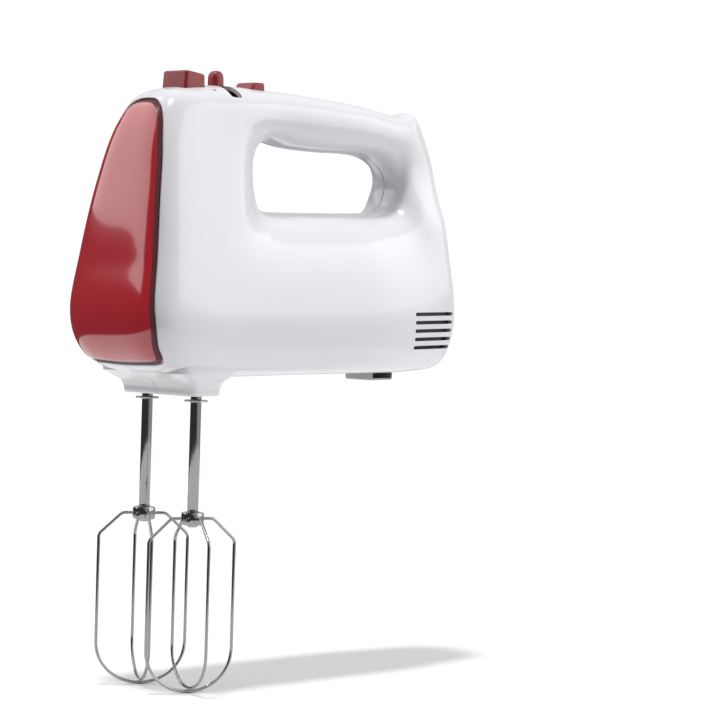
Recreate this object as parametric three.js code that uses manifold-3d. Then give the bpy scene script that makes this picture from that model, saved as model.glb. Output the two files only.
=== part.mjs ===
// Electric hand mixer with two ejectable wire beaters, built as a three.js scene graph.
// Millimetres. +Z up, the nose points to -Y, X is the width. Z = 0 is the beater tips.
import * as THREE from 'three';
import { mergeVertices } from 'three/addons/utils/BufferGeometryUtils.js';
import Module from 'manifold-3d';

const wasm = await Module();
wasm.setup();

// ---------- driving dimensions ----------
const GAP = 0.3;                 // clearance between touching neighbours
const WALL = 2.4;                // housing wall
const FRAME_Y = -65.0;           // puts the middle of the overall length at Y = 0

const SPINDLE_X = 18.4;          // half the distance between the two beater axes
const SEAT_Z = 138;              // height of the beater collars, the drive's own origin
const TILT = THREE.MathUtils.degToRad(1.31); // the drive leans, tips towards the nose

const BODY_HALF_WIDTH = 36.8;
const HANDLE_HALF_WIDTH = 17.3;
const NOSE_FLARE = 2.0;          // how much further out each flank stands at the nose
const TOP_NARROWING = 15.2;      // how much each flank leans in over the height below
const NARROWS_FROM = 172;
const NARROWS_OVER = 96;
const TAIL_TAPER = 0.27;         // share of the width lost towards the rear
const UNDERSIDE_Z = 148.7;
const BOSS_Z = 140.5;            // flat bottom of the socket boss
const RING_STEPS = 2;            // loft rings per station of the housing outline
const SECTION_STEPS = 10;        // facets over half a housing section

const CAGE_R = 21.65;            // wire centre line of the beater cage
const WIRE_R = 0.75;
const WIRE_SIDES = 5;
const SHAFT_R = 2.6;
const HUB_Z = -55.5;             // beater hub, measured down from the collar
const HUB_R = 5.4;
const HUB_H = 6.2;
const SHAFT_TOP = 38;            // how far the shaft reaches up into its spindle
const CAGE_BOTTOM = 137.2;       // lowest wire centre below the collar

const MOTOR_Z = 40;              // motor axis above the collars
const WHEEL_TEETH = 24;
const WHEEL_OUTER = 14.8;
const WHEEL_ROOT = 12.7;
const WHEEL_H = 8;
const WHEEL_PITCH_R = 14;
const WORM_STARTS = 2;
const WORM_PITCH_R = SPINDLE_X - WHEEL_PITCH_R;
const WORM_OUTER = 5.2;
const WORM_ROOT = 3.3;
const THREAD_PITCH = (2 * Math.PI * WHEEL_PITCH_R) / WHEEL_TEETH;
const WORM_LEAD = THREAD_PITCH * WORM_STARTS;
const SPINDLE_R = 5.2;

const EJECT = { y: 4.4, halfX: 9.4, halfY: 6.9, top: 293.9, slope: 0.13 };
const TURBO = { y: 45.8, halfX: 6.9, halfY: 4.8, top: 289.8 };
const LEVER = { y: 24.8, axisZ: 250, tip: 294.6, trackR: 33.4, slotHalf: 16.5, slotDepth: 7 };
const PANEL = { proud: 0.7, depth: 0.7, gap: 0.35, recess: 1.4, reach: 62 };
const GLAND = { y: 127.0, halfX: 10.4, halfY: 8.1, bottom: 144.7, top: 158 };
const VENT = { count: 5, bottom: 161.6, pitch: 4.15, height: 1.8, front: 129, rear: 161 };
const SCREWS = [[-24, 166], [-8, 265], [147, 260], [150, 163]]; // Y, Z of the housing screws
const SCREW = { r: 1.5, headR: 3.1, seat: -12.4, head: -15.4, tip: 8, postR: 4 };
const SOCKET_R = 6.4;            // bore round each spindle in the boss

// ---------- materials ----------
const paint = (color, roughness, metalness = 0) => () =>
  new THREE.MeshStandardMaterial({ color, roughness, metalness });
const white = paint(0xecedf1, 0.25);
const red = paint(0xa52335, 0.22);
const darkRed = paint(0x7c1a29, 0.35);
const greyPlastic = paint(0x9a9ba1, 0.5);
const darkPlastic = paint(0x2b2c30, 0.6);
const nylon = paint(0xe6e0cf, 0.5);
const steel = paint(0xb9bbbe, 0.2, 1);
const laminations = paint(0x6d7176, 0.45, 0.9);
const copper = paint(0xb4683a, 0.35, 0.9);
const brass = paint(0xc2a052, 0.3, 1);
const carbon = paint(0x1c1c1e, 0.8);
const boardGreen = paint(0x2d5b3a, 0.5);

// ---------- solids ----------
function toSolid(geometry) {
  const bare = geometry.clone();
  bare.deleteAttribute('normal');
  bare.deleteAttribute('uv');
  bare.attributes.position.array.forEach((value, i, all) => {
    all[i] = Math.round(value * 1e4) / 1e4;
  });
  const welded = mergeVertices(bare, 1e-4);
  return new wasm.Manifold(new wasm.Mesh({
    numProp: 3,
    vertProperties: new Float32Array(welded.attributes.position.array),
    triVerts: new Uint32Array(welded.index.array),
  }));
}

function toGeometry(solid) {
  const data = solid.getMesh();
  const geometry = new THREE.BufferGeometry();
  geometry.setAttribute('position', new THREE.BufferAttribute(new Float32Array(data.vertProperties), 3));
  geometry.setIndex(new THREE.BufferAttribute(new Uint32Array(data.triVerts), 1));
  const flat = geometry.toNonIndexed();
  flat.computeVertexNormals();
  return flat;
}

function cut(base, ...tools) {
  return tools.reduce((left, tool) => left.subtract(toSolid(tool)), toSolid(base));
}

function box(x0, x1, y0, y1, z0, z1) {
  const geometry = new THREE.BoxGeometry(x1 - x0, y1 - y0, z1 - z0);
  return geometry.translate((x0 + x1) / 2, (y0 + y1) / 2, (z0 + z1) / 2);
}

// A solid of revolution about Z from [radius, height] points that close on themselves.
function lathe(points, segments = 20) {
  const closed = [...points, points[0]].map(([r, z]) => new THREE.Vector2(r, z));
  return new THREE.LatheGeometry(closed, segments).rotateX(Math.PI / 2);
}

function rod(radius, z0, z1, segments = 16) {
  const geometry = new THREE.CylinderGeometry(radius, radius, z1 - z0, segments);
  return geometry.rotateX(Math.PI / 2).translate(0, 0, (z0 + z1) / 2);
}

function tube(outer, inner, z0, z1, segments = 20) {
  return lathe([[inner, z1], [inner, z0], [outer, z0], [outer, z1]], segments);
}

// Turns something built about Z so that its axis lies along Y.
const alongY = (geometry) => geometry.rotateX(-Math.PI / 2);

function roundedRect(halfX, halfY, radius) {
  const shape = new THREE.Shape();
  shape.moveTo(-halfX + radius, -halfY);
  shape.lineTo(halfX - radius, -halfY);
  shape.absarc(halfX - radius, -halfY + radius, radius, -Math.PI / 2, 0);
  shape.lineTo(halfX, halfY - radius);
  shape.absarc(halfX - radius, halfY - radius, radius, 0, Math.PI / 2);
  shape.lineTo(-halfX + radius, halfY);
  shape.absarc(-halfX + radius, halfY - radius, radius, Math.PI / 2, Math.PI);
  shape.lineTo(-halfX, -halfY + radius);
  shape.absarc(-halfX + radius, -halfY + radius, radius, Math.PI, 1.5 * Math.PI);
  return shape;
}

function roundedBlock(halfX, halfY, radius, z0, z1, curveSegments = 3, bevel = 0) {
  const geometry = new THREE.ExtrudeGeometry(roundedRect(halfX - bevel, halfY - bevel, radius), {
    depth: z1 - z0 - 2 * bevel, curveSegments, bevelEnabled: bevel > 0,
    bevelThickness: bevel, bevelSize: bevel, bevelSegments: 1,
  });
  return geometry.translate(0, 0, z0 + bevel);
}

function piece(name, shape, material) {
  const geometry = shape.isBufferGeometry ? shape : toGeometry(shape);
  const mesh = new THREE.Mesh(geometry, material());
  mesh.name = name;
  return mesh;
}

// ---------- housing form ----------
// Stations round the handle opening: [outer Y, outer Z, opening Y, opening Z, squareness].
const STATIONS = [
  [-40.0, 178, 41.0, 236.0, 5.1], [-36.5, 205, 40.2, 242.0, 5.0],
  [-30.4, 240, 40.5, 249.0, 4.9], [-23.4, 268, 43.0, 256.0, 4.2],
  [-15.2, 281.2, 47.5, 260.3, 3.8], [2, 286.4, 53.0, 262.0, 2.7],
  [25, 287.5, 60.0, 261.2, 2.4], [46, 286.8, 68.0, 259.4, 2.3],
  [69, 285.6, 80.0, 258.2, 2.3], [93, 283.6, 93.0, 257.6, 2.3],
  [118, 280.9, 108.0, 257.4, 2.3], [134, 278.0, 120.0, 256.3, 2.3],
  [142, 277.6, 127.0, 254.0, 2.3], [149.6, 279.0, 131.5, 251.0, 2.4],
  [155.8, 269, 134.3, 247.5, 2.6], [162.4, 252, 135.6, 243.0, 2.8],
  [163.8, 225, 135.2, 238.5, 3.0], [166.8, 198, 133.5, 234.0, 3.0],
  [169.4, 178, 130.0, 230.5, 3.1], [169.0, 163.5, 124.0, 228.6, 3.2],
  [161.5, 151.6, 114.0, 228.0, 3.6], [140, UNDERSIDE_Z, 104.0, 227.8, 4.2],
  [100, UNDERSIDE_Z, 90.0, 227.7, 4.6], [60, UNDERSIDE_Z, 76.0, 227.6, 4.6],
  [20, UNDERSIDE_Z, 62.0, 227.6, 4.6], [-8, 149.6, 53.0, 227.8, 4.8],
  [-25.4, 153.2, 46.5, 229.0, 4.7], [-35.9, 163.0, 42.7, 231.5, 5.0],
];
const OPENING_SQUARENESS = 2.6;
const outerCurve = new THREE.CatmullRomCurve3(
  STATIONS.map(([y, z, , , n]) => new THREE.Vector3(y, z, n * 10)), true, 'centripetal');
const openingCurve = new THREE.CatmullRomCurve3(
  STATIONS.map(([, , y, z]) => new THREE.Vector3(y, z, 0)), true, 'centripetal');

const blend = (value, low, high) => THREE.MathUtils.smoothstep(value, low, high);

// Half width of the housing at a point of its side view.
function halfWidth(y, z) {
  const narrowing = TOP_NARROWING * (Math.max(0, z - NARROWS_FROM) / NARROWS_OVER) ** 1.53;
  const flank = BODY_HALF_WIDTH - narrowing + NOSE_FLARE * (1 - blend(y, -25, 15));
  const handle = blend(z, 220, 254) * blend(y, 22, 62);
  const tail = 1 - TAIL_TAPER * blend(y, 95, 165);
  return THREE.MathUtils.lerp(flank, HANDLE_HALF_WIDTH, handle) * tail;
}

// The solid inside the housing surface moved out by `offset`. Side 1 or -1 is one half,
// cut off flat at `start` from the middle, and side 0 is the whole form.
function bodyForm(offset, side, start, ringSteps = RING_STEPS, sectionSteps = SECTION_STEPS) {
  const rings = STATIONS.length * ringSteps;
  const points = side === 0 ? sectionSteps * 2 : sectionSteps + 1;
  const positions = [];
  for (let ring = 0; ring < rings; ring += 1) {
    const outer = outerCurve.getPoint(ring / rings);
    const inner = openingCurve.getPoint(ring / rings);
    const centre = new THREE.Vector2((outer.x + inner.x) / 2, (outer.y + inner.y) / 2);
    const reach = new THREE.Vector2((outer.x - inner.x) / 2, (outer.y - inner.y) / 2);
    const scale = 1 + offset / reach.length();
    for (let step = 0; step < points; step += 1) {
      const angle = (step * Math.PI) / sectionSteps;
      const cos = -Math.cos(angle);
      const sin = Math.sin(angle);
      const n = cos > 0 ? outer.z / 10 : OPENING_SQUARENESS;
      const radius = (Math.abs(cos) ** n + Math.abs(sin) ** n) ** (-1 / n);
      const y = centre.x + reach.x * cos * radius * scale;
      const z = centre.y + reach.y * cos * radius * scale;
      const width = halfWidth(y, z) + offset;
      const x = side === 0 ? width * sin * radius : side * (start + (width - start) * sin * radius);
      positions.push(x, y, z);
    }
  }
  const index = [];
  for (let ring = 0; ring < rings; ring += 1) {
    for (let step = 0; step < points; step += 1) {
      const a = ring * points + step;
      const b = ring * points + ((step + 1) % points);
      const c = ((ring + 1) % rings) * points + step;
      const d = ((ring + 1) % rings) * points + ((step + 1) % points);
      if (side >= 0) index.push(a, c, b, b, c, d);
      else index.push(a, b, c, b, d, c);
    }
  }
  const geometry = new THREE.BufferGeometry();
  geometry.setAttribute('position', new THREE.Float32BufferAttribute(positions, 3));
  geometry.setIndex(index);
  return geometry;
}

// The boss under the nose, flaring into the underside: [half X, front Y, rear Y, corner, Z].
const BOSS_RINGS = [
  [27, -9.2, 9.2, 4, BOSS_Z], [27.3, -9.8, 9.5, 4.3, 144.2], [28.2, -11.4, 11, 5, 146.8],
  [30, -15, 14, 6, 148.8], [32, -20, 17, 7, 151.4], [32, -20, 17, 7, 158],
];
function socketBoss() {
  const arcSteps = 3;
  const points = 4 * (arcSteps + 1);
  const positions = [];
  BOSS_RINGS.forEach(([halfX, front, rear, corner, z]) => {
    const centres = [[halfX - corner, rear - corner], [corner - halfX, rear - corner],
      [corner - halfX, front + corner], [halfX - corner, front + corner]];
    centres.forEach(([x, y], quarter) => {
      for (let step = 0; step <= arcSteps; step += 1) {
        const angle = ((quarter + step / arcSteps) * Math.PI) / 2;
        positions.push(x + corner * Math.cos(angle), y + corner * Math.sin(angle), z);
      }
    });
  });
  return ringSolid(positions, points, BOSS_RINGS.length);
}

// Closes a stack of rings, listed anticlockwise from the lowest, with a fan at each end.
function ringSolid(positions, points, rings) {
  const index = [];
  for (let k = 1; k < points - 1; k += 1) {
    const top = (rings - 1) * points;
    index.push(0, k + 1, k, top, top + k, top + k + 1);
  }
  for (let ring = 0; ring < rings - 1; ring += 1) {
    for (let k = 0; k < points; k += 1) {
      const a = ring * points + k;
      const b = ring * points + ((k + 1) % points);
      index.push(a, b, a + points, b, b + points, a + points);
    }
  }
  const geometry = new THREE.BufferGeometry();
  geometry.setAttribute('position', new THREE.Float32BufferAttribute(positions, 3));
  geometry.setIndex(index);
  return geometry;
}

// A box on one side of the middle plane, from `near` to `far` away from it.
function sideBox(side, near, far, y0, y1, z0, z1) {
  return side > 0 ? box(near, far, y0, y1, z0, z1) : box(-far, -near, y0, y1, z0, z1);
}

function housingHalf(side) {
  const clip = toSolid(sideBox(side, GAP / 2, 80, -60, 200, 100, 320));
  let shell = toSolid(bodyForm(0, side, GAP / 2));
  shell = shell.add(toSolid(socketBoss()).intersect(clip));
  shell = shell.subtract(toSolid(bodyForm(-WALL, side, -1, 1, 8)));
  shell = shell.subtract(panelPrism(PANEL.gap).subtract(toSolid(bodyForm(-PANEL.recess, 0, 0))));
  SCREWS.forEach(([y, z]) => {
    const post = rod(SCREW.postR, 0, 34, 10).rotateY(side * Math.PI / 2).translate(0, y, z);
    shell = shell.add(toSolid(post).intersect(clip).intersect(toSolid(bodyForm(-1, side, 0, 1, 8))));
    const hole = rod(SCREW.r + 0.4, -40, SCREW.tip + 1, 10).rotateY(Math.PI / 2).translate(0, y, z);
    const sink = rod(SCREW.headR + 0.5, -60, SCREW.seat + 0.4, 12).rotateY(Math.PI / 2).translate(0, y, z);
    shell = shell.subtract(toSolid(hole)).subtract(toSolid(sink));
  });
  [-SPINDLE_X, SPINDLE_X].forEach((x) => {
    shell = shell.subtract(toSolid(rod(SOCKET_R, 120, 160).translate(x, 0, 0)));
  });
  [[EJECT, 0.35, 275, 310], [TURBO, GAP, 278, 310], [GLAND, GAP, 140, 156]].forEach(([key, gap, z0, z1]) => {
    shell = shell.subtract(toSolid(box(-key.halfX - gap, key.halfX + gap,
      key.y - key.halfY - gap, key.y + key.halfY + gap, z0, z1)));
  });
  shell = shell.subtract(toSolid(box(-LEVER.slotHalf, LEVER.slotHalf,
    LEVER.y - LEVER.slotDepth / 2, LEVER.y + LEVER.slotDepth / 2, 270, 310)));
  for (let slot = 0; slot < VENT.count; slot += 1) {
    const z = VENT.bottom + slot * VENT.pitch;
    shell = shell.subtract(toSolid(sideBox(side, 14, 60, VENT.front, VENT.rear,
      z - VENT.height / 2, z + VENT.height / 2)));
  }
  return shell;
}

// Half widths of the nose panel from its top to its foot: [half width, Z].
const PANEL_EDGE = [
  [6, 279.2], [11.6, 276.4], [15.8, 270.5], [20.5, 257], [23.6, 243], [28.1, 216], [31.5, 187.5],
  [31.8, 173], [30.0, 164], [27.0, 157], [13, 155.2],
];
function panelPrism(grow) {
  const middleZ = (PANEL_EDGE[0][1] + PANEL_EDGE.at(-1)[1]) / 2;
  const edge = PANEL_EDGE.map(([x, z], i) => {
    const atEnd = i < 2 || i > PANEL_EDGE.length - 3;
    return [x + grow, atEnd ? z + Math.sign(z - middleZ) * grow : z];
  });
  const outline = [...edge, ...edge.map(([x, z]) => [-x, z]).reverse()];
  const shape = new THREE.Shape(outline.map(([x, z]) => new THREE.Vector2(x, z)));
  const prism = new THREE.ExtrudeGeometry(shape, { depth: PANEL.reach, bevelEnabled: false });
  return toSolid(prism.rotateX(Math.PI / 2));
}

function frontPanel() {
  const skin = toSolid(bodyForm(PANEL.proud, 0, 0)).subtract(toSolid(bodyForm(-PANEL.depth, 0, 0)));
  return skin.intersect(panelPrism(0));
}

// ---------- drive ----------
function toothedWheel() {
  const shape = new THREE.Shape();
  const tooth = (2 * Math.PI) / WHEEL_TEETH;
  const corners = [[WHEEL_ROOT, -0.5], [WHEEL_ROOT, -0.24], [WHEEL_OUTER, -0.1], [WHEEL_OUTER, 0.1],
    [WHEEL_ROOT, 0.24]];
  for (let i = 0; i < WHEEL_TEETH; i += 1) {
    corners.forEach(([radius, phase], k) => {
      const angle = (i + 0.5 + phase) * tooth;
      const x = radius * Math.cos(angle);
      const y = radius * Math.sin(angle);
      if (i + k) shape.lineTo(x, y);
      else shape.moveTo(x, y);
    });
  }
  shape.holes.push(new THREE.Path().absarc(0, 0, SPINDLE_R + GAP, 0, 2 * Math.PI, true));
  const geometry = new THREE.ExtrudeGeometry(shape, {
    depth: WHEEL_H, steps: 1, bevelEnabled: false, curveSegments: 10,
  }).translate(0, 0, -WHEEL_H / 2);
  const slope = WORM_LEAD / (2 * Math.PI * WORM_PITCH_R);
  const position = geometry.attributes.position;
  for (let i = 0; i < position.count; i += 1) {
    const turn = (slope * position.getZ(i)) / WHEEL_PITCH_R;
    const x = position.getX(i);
    const y = position.getY(i);
    position.setXY(i, x * Math.cos(turn) - y * Math.sin(turn), x * Math.sin(turn) + y * Math.cos(turn));
  }
  return geometry;
}

// The motor shaft with its two-start worm, as one grid of rings about Y.
function wormShaft() {
  const around = 14;
  const rings = [];
  const plain = (y, r) => rings.push({ y, r: () => r });
  const wormEnd = 12;
  const threadStep = 0.8;
  plain(-20, 2.4);
  plain(-wormEnd - 1.5, 2.4);
  plain(-wormEnd - 1.4, WORM_ROOT);
  for (let y = -wormEnd; y <= wormEnd + 1e-6; y += threadStep) {
    rings.push({
      y,
      r: (angle) => {
        const phase = (y / THREAD_PITCH + (WORM_STARTS * angle) / (2 * Math.PI)) % 1;
        const offset = Math.abs(((phase + 1.5) % 1) - 0.5);
        return offset < 0.13 ? WORM_OUTER : THREE.MathUtils.lerp(WORM_OUTER, WORM_ROOT,
          Math.min(1, (offset - 0.13) / 0.1));
      },
    });
  }
  plain(wormEnd + 1.4, WORM_ROOT);
  plain(wormEnd + 1.5, 3);
  plain(100, 3);
  plain(100.4, 2.4);
  plain(114, 2.4);
  const positions = [0, rings[0].y, 0];
  rings.forEach(({ y, r }) => {
    for (let k = 0; k < around; k += 1) {
      const angle = (k * 2 * Math.PI) / around;
      positions.push(r(angle) * Math.cos(angle), y, r(angle) * Math.sin(angle));
    }
  });
  positions.push(0, rings.at(-1).y, 0);
  const last = positions.length / 3 - 1;
  const index = [];
  for (let k = 0; k < around; k += 1) {
    const next = (k + 1) % around;
    index.push(0, 1 + k, 1 + next);
    index.push(last, last - around + next, last - around + k);
    for (let ring = 0; ring < rings.length - 1; ring += 1) {
      const a = 1 + ring * around;
      const b = a + around;
      index.push(a + k, b + k, a + next, a + next, b + k, b + next);
    }
  }
  const geometry = new THREE.BufferGeometry();
  geometry.setAttribute('position', new THREE.Float32BufferAttribute(positions, 3));
  geometry.setIndex(index);
  return toSolid(geometry);
}

function slottedDrum(outer, inner, slotDepth, slots, slotWidth, y0, y1) {
  const shape = new THREE.Shape();
  for (let i = 0; i < slots; i += 1) {
    const middle = (i * 2 * Math.PI) / slots;
    const half = slotWidth / outer / 2;
    const pitch = (2 * Math.PI) / slots;
    const ends = [[outer - slotDepth, -half], [outer - slotDepth, half], [outer, half],
      [outer, pitch / 2], [outer, pitch - half]];
    ends.forEach(([radius, turn], k) => {
      const x = radius * Math.cos(middle + turn);
      const y = radius * Math.sin(middle + turn);
      if (i + k) shape.lineTo(x, y);
      else shape.moveTo(x, y);
    });
  }
  shape.holes.push(new THREE.Path().absarc(0, 0, inner, 0, 2 * Math.PI, true));
  const geometry = new THREE.ExtrudeGeometry(shape, {
    depth: y1 - y0, bevelEnabled: false, curveSegments: 6,
  });
  return alongY(geometry).translate(0, y0, 0);
}

function statorStack() {
  const shape = roundedRect(26, 20.5, 7);
  shape.holes.push(new THREE.Path().absarc(0, 0, 13.6, 0, 2 * Math.PI, true));
  const stack = alongY(new THREE.ExtrudeGeometry(shape, {
    depth: 26, bevelEnabled: false, curveSegments: 6,
  })).translate(0, 36, 0);
  const slots = [];
  [-1, 1].forEach((sideX) => [-1, 1].forEach((sideZ) => {
    slots.push(box(sideX > 0 ? 15.2 : -21.8, sideX > 0 ? 21.8 : -15.2, 30, 70,
      sideZ > 0 ? 8 : -15.2, sideZ > 0 ? 15.2 : -8));
  }));
  return cut(stack, ...slots);
}

function fieldCoil(side) {
  const shape = roundedRect(17.4, 14.9, 5);
  const hole = roundedRect(13.4, 8.3, 0.6);
  shape.holes.push(new THREE.Path(hole.getPoints(2).reverse()));
  const geometry = new THREE.ExtrudeGeometry(shape, { depth: 6, bevelEnabled: false, curveSegments: 3 });
  geometry.rotateY(Math.PI / 2).rotateX(Math.PI / 2);
  return geometry.translate(side > 0 ? 15.5 : -21.5, 49, 0);
}

function coolingFan() {
  let fan = toSolid(alongY(tube(5.4, 2.7, 0, 8, 12)).translate(0, 102, 0));
  fan = fan.add(toSolid(alongY(tube(19, 4.5, 0, 1.2, 20)).translate(0, 102, 0)));
  for (let blade = 0; blade < 9; blade += 1) {
    const vane = box(4.8, 18.4, 102.6, 109.4, -0.5, 0.5);
    vane.rotateY((blade * 2 * Math.PI) / 9);
    fan = fan.add(toSolid(vane));
  }
  return fan;
}

function brushHolder(side) {
  const body = box(8.6, 22, 72, 81, -4, 4);
  const bore = box(0, 19.6, 73.7, 79.3, -2.3, 2.3);
  const holder = toGeometry(cut(body, bore));
  return side > 0 ? holder : holder.rotateY(Math.PI);
}

function carbonBrush(side) {
  const brush = box(7.4, 17, 74, 79, -2, 2);
  return side > 0 ? brush : brush.rotateY(Math.PI);
}

function bearingBracket(y, thickness, halfX, halfZ, bore) {
  const plate = roundedBlock(halfX, halfZ, 5, 0, thickness);
  return cut(alongY(plate).translate(0, y, 0), alongY(rod(bore, -1, thickness + 1, 16)).translate(0, y, 0));
}

function gearPlate(z, bore) {
  const plate = roundedBlock(30, 13, 4, z, z + 2.4);
  const holes = [-SPINDLE_X, SPINDLE_X].map((x) => rod(bore, z - 1, z + 4, 16).translate(x, 0, 0));
  return cut(plate, ...holes);
}

// ---------- beaters ----------
function beaterLoop(lift) {
  const bottom = -CAGE_BOTTOM + lift;
  const shoulder = 9.4;
  const straightEnd = -CAGE_BOTTOM + 19.5;
  const bowl = straightEnd - bottom;
  const half = [[HUB_R + GAP, HUB_Z], [10.6, HUB_Z], [CAGE_R - 1.2, HUB_Z - shoulder],
    [CAGE_R, HUB_Z - shoulder - 3], [CAGE_R, -90], [CAGE_R, -105]];
  for (let step = 0; step < 6; step += 1) {
    const angle = (step * Math.PI) / 12;
    half.push([CAGE_R * Math.cos(angle), straightEnd - bowl * Math.sin(angle)]);
  }
  const points = [...half, [0, bottom], ...half.map(([r, z]) => [-r, z]).reverse()];
  return wireAlong(points.map(([r, z]) => new THREE.Vector3(r, 0, z)));
}

function wireAlong(points) {
  const curve = new THREE.CatmullRomCurve3(points, false, 'centripetal');
  const section = new THREE.Shape();
  for (let k = 0; k < WIRE_SIDES; k += 1) {
    const angle = (k * 2 * Math.PI) / WIRE_SIDES;
    const x = WIRE_R * Math.cos(angle);
    const y = WIRE_R * Math.sin(angle);
    if (k) section.lineTo(x, y);
    else section.moveTo(x, y);
  }
  return new THREE.ExtrudeGeometry(section, { steps: 38, extrudePath: curve, bevelEnabled: false });
}

function beaterShaft() {
  const foot = HUB_Z - HUB_H / 2 - 1;
  return lathe([[0, SHAFT_TOP], [0, foot], [SHAFT_R - 0.5, foot], [SHAFT_R, foot + 0.6],
    [SHAFT_R, -0.6], [5.6, -0.5], [5.6, 0.5], [SHAFT_R, 0.6], [SHAFT_R, 30], [SHAFT_R - 0.6, 30.8],
    [SHAFT_R - 0.6, 32.2], [SHAFT_R, 33], [SHAFT_R, SHAFT_TOP - 1]], 14);
}

function beater(name, x, wireTurn) {
  const group = new THREE.Group();
  group.position.x = x;
  group.add(piece(`${name}_beater_shaft`, beaterShaft(), steel));
  const low = HUB_Z - HUB_H / 2;
  const chamfer = 0.8;
  const hub = lathe([[SHAFT_R + GAP, low + HUB_H], [SHAFT_R + GAP, low], [HUB_R - chamfer, low],
    [HUB_R, low + chamfer], [HUB_R, low + HUB_H - chamfer], [HUB_R - chamfer, low + HUB_H]], 18);
  group.add(piece(`${name}_beater_hub`, hub, steel));
  [0, 1].forEach((loop) => {
    const wire = piece(`${name}_wire_loop_${loop + 1}`, beaterLoop(loop * (2 * WIRE_R + GAP)), steel);
    wire.rotation.z = THREE.MathUtils.degToRad(wireTurn + 90 * loop);
    group.add(wire);
  });
  return group;
}

// ---------- controls ----------
function ejectButton() {
  const cap = roundedBlock(EJECT.halfX, EJECT.halfY, 2, 272, EJECT.top, 3, 0.8).translate(0, EJECT.y, 0);
  const corner = cap.attributes.position;
  for (let i = 0; i < corner.count; i += 1) {
    const fall = corner.getZ(i) > 285 ? EJECT.slope * (corner.getY(i) - EJECT.y + EJECT.halfY) : 0;
    corner.setZ(i, corner.getZ(i) - fall);
  }
  const stem = box(-4, 4, EJECT.y - 3, EJECT.y + 3, 227, 273);
  return toSolid(cap).add(toSolid(stem));
}

function turboButton() {
  const cap = roundedBlock(TURBO.halfX, TURBO.halfY, 2, 276, TURBO.top, 3, 0.8);
  const stem = box(-3, 3, -2.4, 2.4, 268, 277);
  return toSolid(cap).add(toSolid(stem)).translate([0, TURBO.y, 0]);
}

function speedLever() {
  const drop = LEVER.axisZ;
  const foot = drop + LEVER.trackR + 0.8;
  const finger = roundedBlock(3.3, 3.1, 2.2, foot, LEVER.tip, 3, 0.7).translate(0, LEVER.y, 0);
  const arm = box(-2, 2, LEVER.y - 2, LEVER.y + 2, drop + 2, foot + 0.4);
  const eye = alongY(tube(4, 1.6, 0, 4, 12)).translate(0, LEVER.y - 2, drop);
  const pivotHole = alongY(rod(1.6, -5, 10, 12)).translate(0, LEVER.y - 2, drop);
  return toSolid(finger).add(toSolid(arm)).add(toSolid(eye)).subtract(toSolid(pivotHole));
}

// The curved track that closes the lever's slot from below and guides its arm.
function leverTrack() {
  const shape = new THREE.Shape();
  const sweep = THREE.MathUtils.degToRad(27);
  shape.absarc(0, 0, LEVER.trackR, Math.PI / 2 - sweep, Math.PI / 2 + sweep, false);
  shape.absarc(0, 0, LEVER.trackR - 1.6, Math.PI / 2 + sweep, Math.PI / 2 - sweep, true);
  const depth = LEVER.slotDepth - 2 * GAP;
  const track = new THREE.ExtrudeGeometry(shape, { depth, bevelEnabled: false, curveSegments: 12 });
  track.rotateX(Math.PI / 2).translate(0, LEVER.y + depth / 2, LEVER.axisZ);
  const slit = box(-12.6, 12.6, LEVER.y - 2.4, LEVER.y + 2.4, 270, 290);
  return cut(track, slit);
}

function cordGland() {
  const block = roundedBlock(GLAND.halfX, GLAND.halfY, 2.6, GLAND.bottom, GLAND.top, 3, 0.5)
    .translate(0, GLAND.y, 0);
  const mouth = box(-20, 20, GLAND.y - GLAND.halfY + 1.6, GLAND.y + GLAND.halfY - 1.6,
    GLAND.bottom + 0.9, UNDERSIDE_Z - 0.4);
  const bore = alongY(rod(2.6, -20, 4, 12)).translate(0, GLAND.y, 153.6);
  return cut(block, mouth, bore);
}

// ---------- assembly ----------
const mixer = new THREE.Group();
mixer.position.y = FRAME_Y;
mixer.add(piece('housing_right', housingHalf(1), white));
mixer.add(piece('housing_left', housingHalf(-1), white));
mixer.add(piece('front_panel', frontPanel(), red));
mixer.add(piece('eject_button', ejectButton(), red));
mixer.add(piece('turbo_button', turboButton(), red));
mixer.add(piece('speed_lever', speedLever(), red));
mixer.add(piece('lever_track', leverTrack(), darkRed));
mixer.add(piece('cord_gland', cordGland(), greyPlastic));

const leverPin = alongY(rod(1.3, -5, 5, 12)).translate(0, LEVER.y, LEVER.axisZ);
mixer.add(piece('speed_lever_pin', leverPin, steel));
const cradle = cut(
  box(-9, 9, LEVER.y - 7, LEVER.y + 7, 236, 255),
  box(-20, 20, LEVER.y - 4.6, LEVER.y + 4.6, 243, 260),
  alongY(rod(1.6, -9, 9, 12)).translate(0, LEVER.y, LEVER.axisZ));
mixer.add(piece('lever_cradle', cradle, darkPlastic));
mixer.add(piece('turbo_switch', box(-5, 5, TURBO.y - 4.2, TURBO.y + 1.2, 262.8, 265.2), darkPlastic));
mixer.add(piece('control_board', box(-15, 15, 9, 31, 231, 232.6), boardGreen));
mixer.add(piece('suppressor', roundedBlock(7, 5, 1.5, 218, 230.6).translate(-6, 24, 0), nylon));
mixer.add(piece('terminal_block', roundedBlock(8, 4.5, 1, 158.4, 166).translate(0, GLAND.y, 0), nylon));

SCREWS.forEach(([y, z], i) => {
  const screw = lathe([[0, SCREW.tip], [0, SCREW.head], [SCREW.headR - 0.2, SCREW.head],
    [SCREW.headR, SCREW.head + 1.4], [SCREW.headR, SCREW.seat], [SCREW.r, SCREW.seat],
    [SCREW.r, SCREW.tip - 1]], 10);
  screw.rotateY(Math.PI / 2).translate(0, y, z);
  mixer.add(piece(`housing_screw_${i + 1}`, screw, steel));
});

const drive = new THREE.Group();
drive.position.z = SEAT_Z;
drive.rotation.x = -TILT;
mixer.add(drive);

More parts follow.
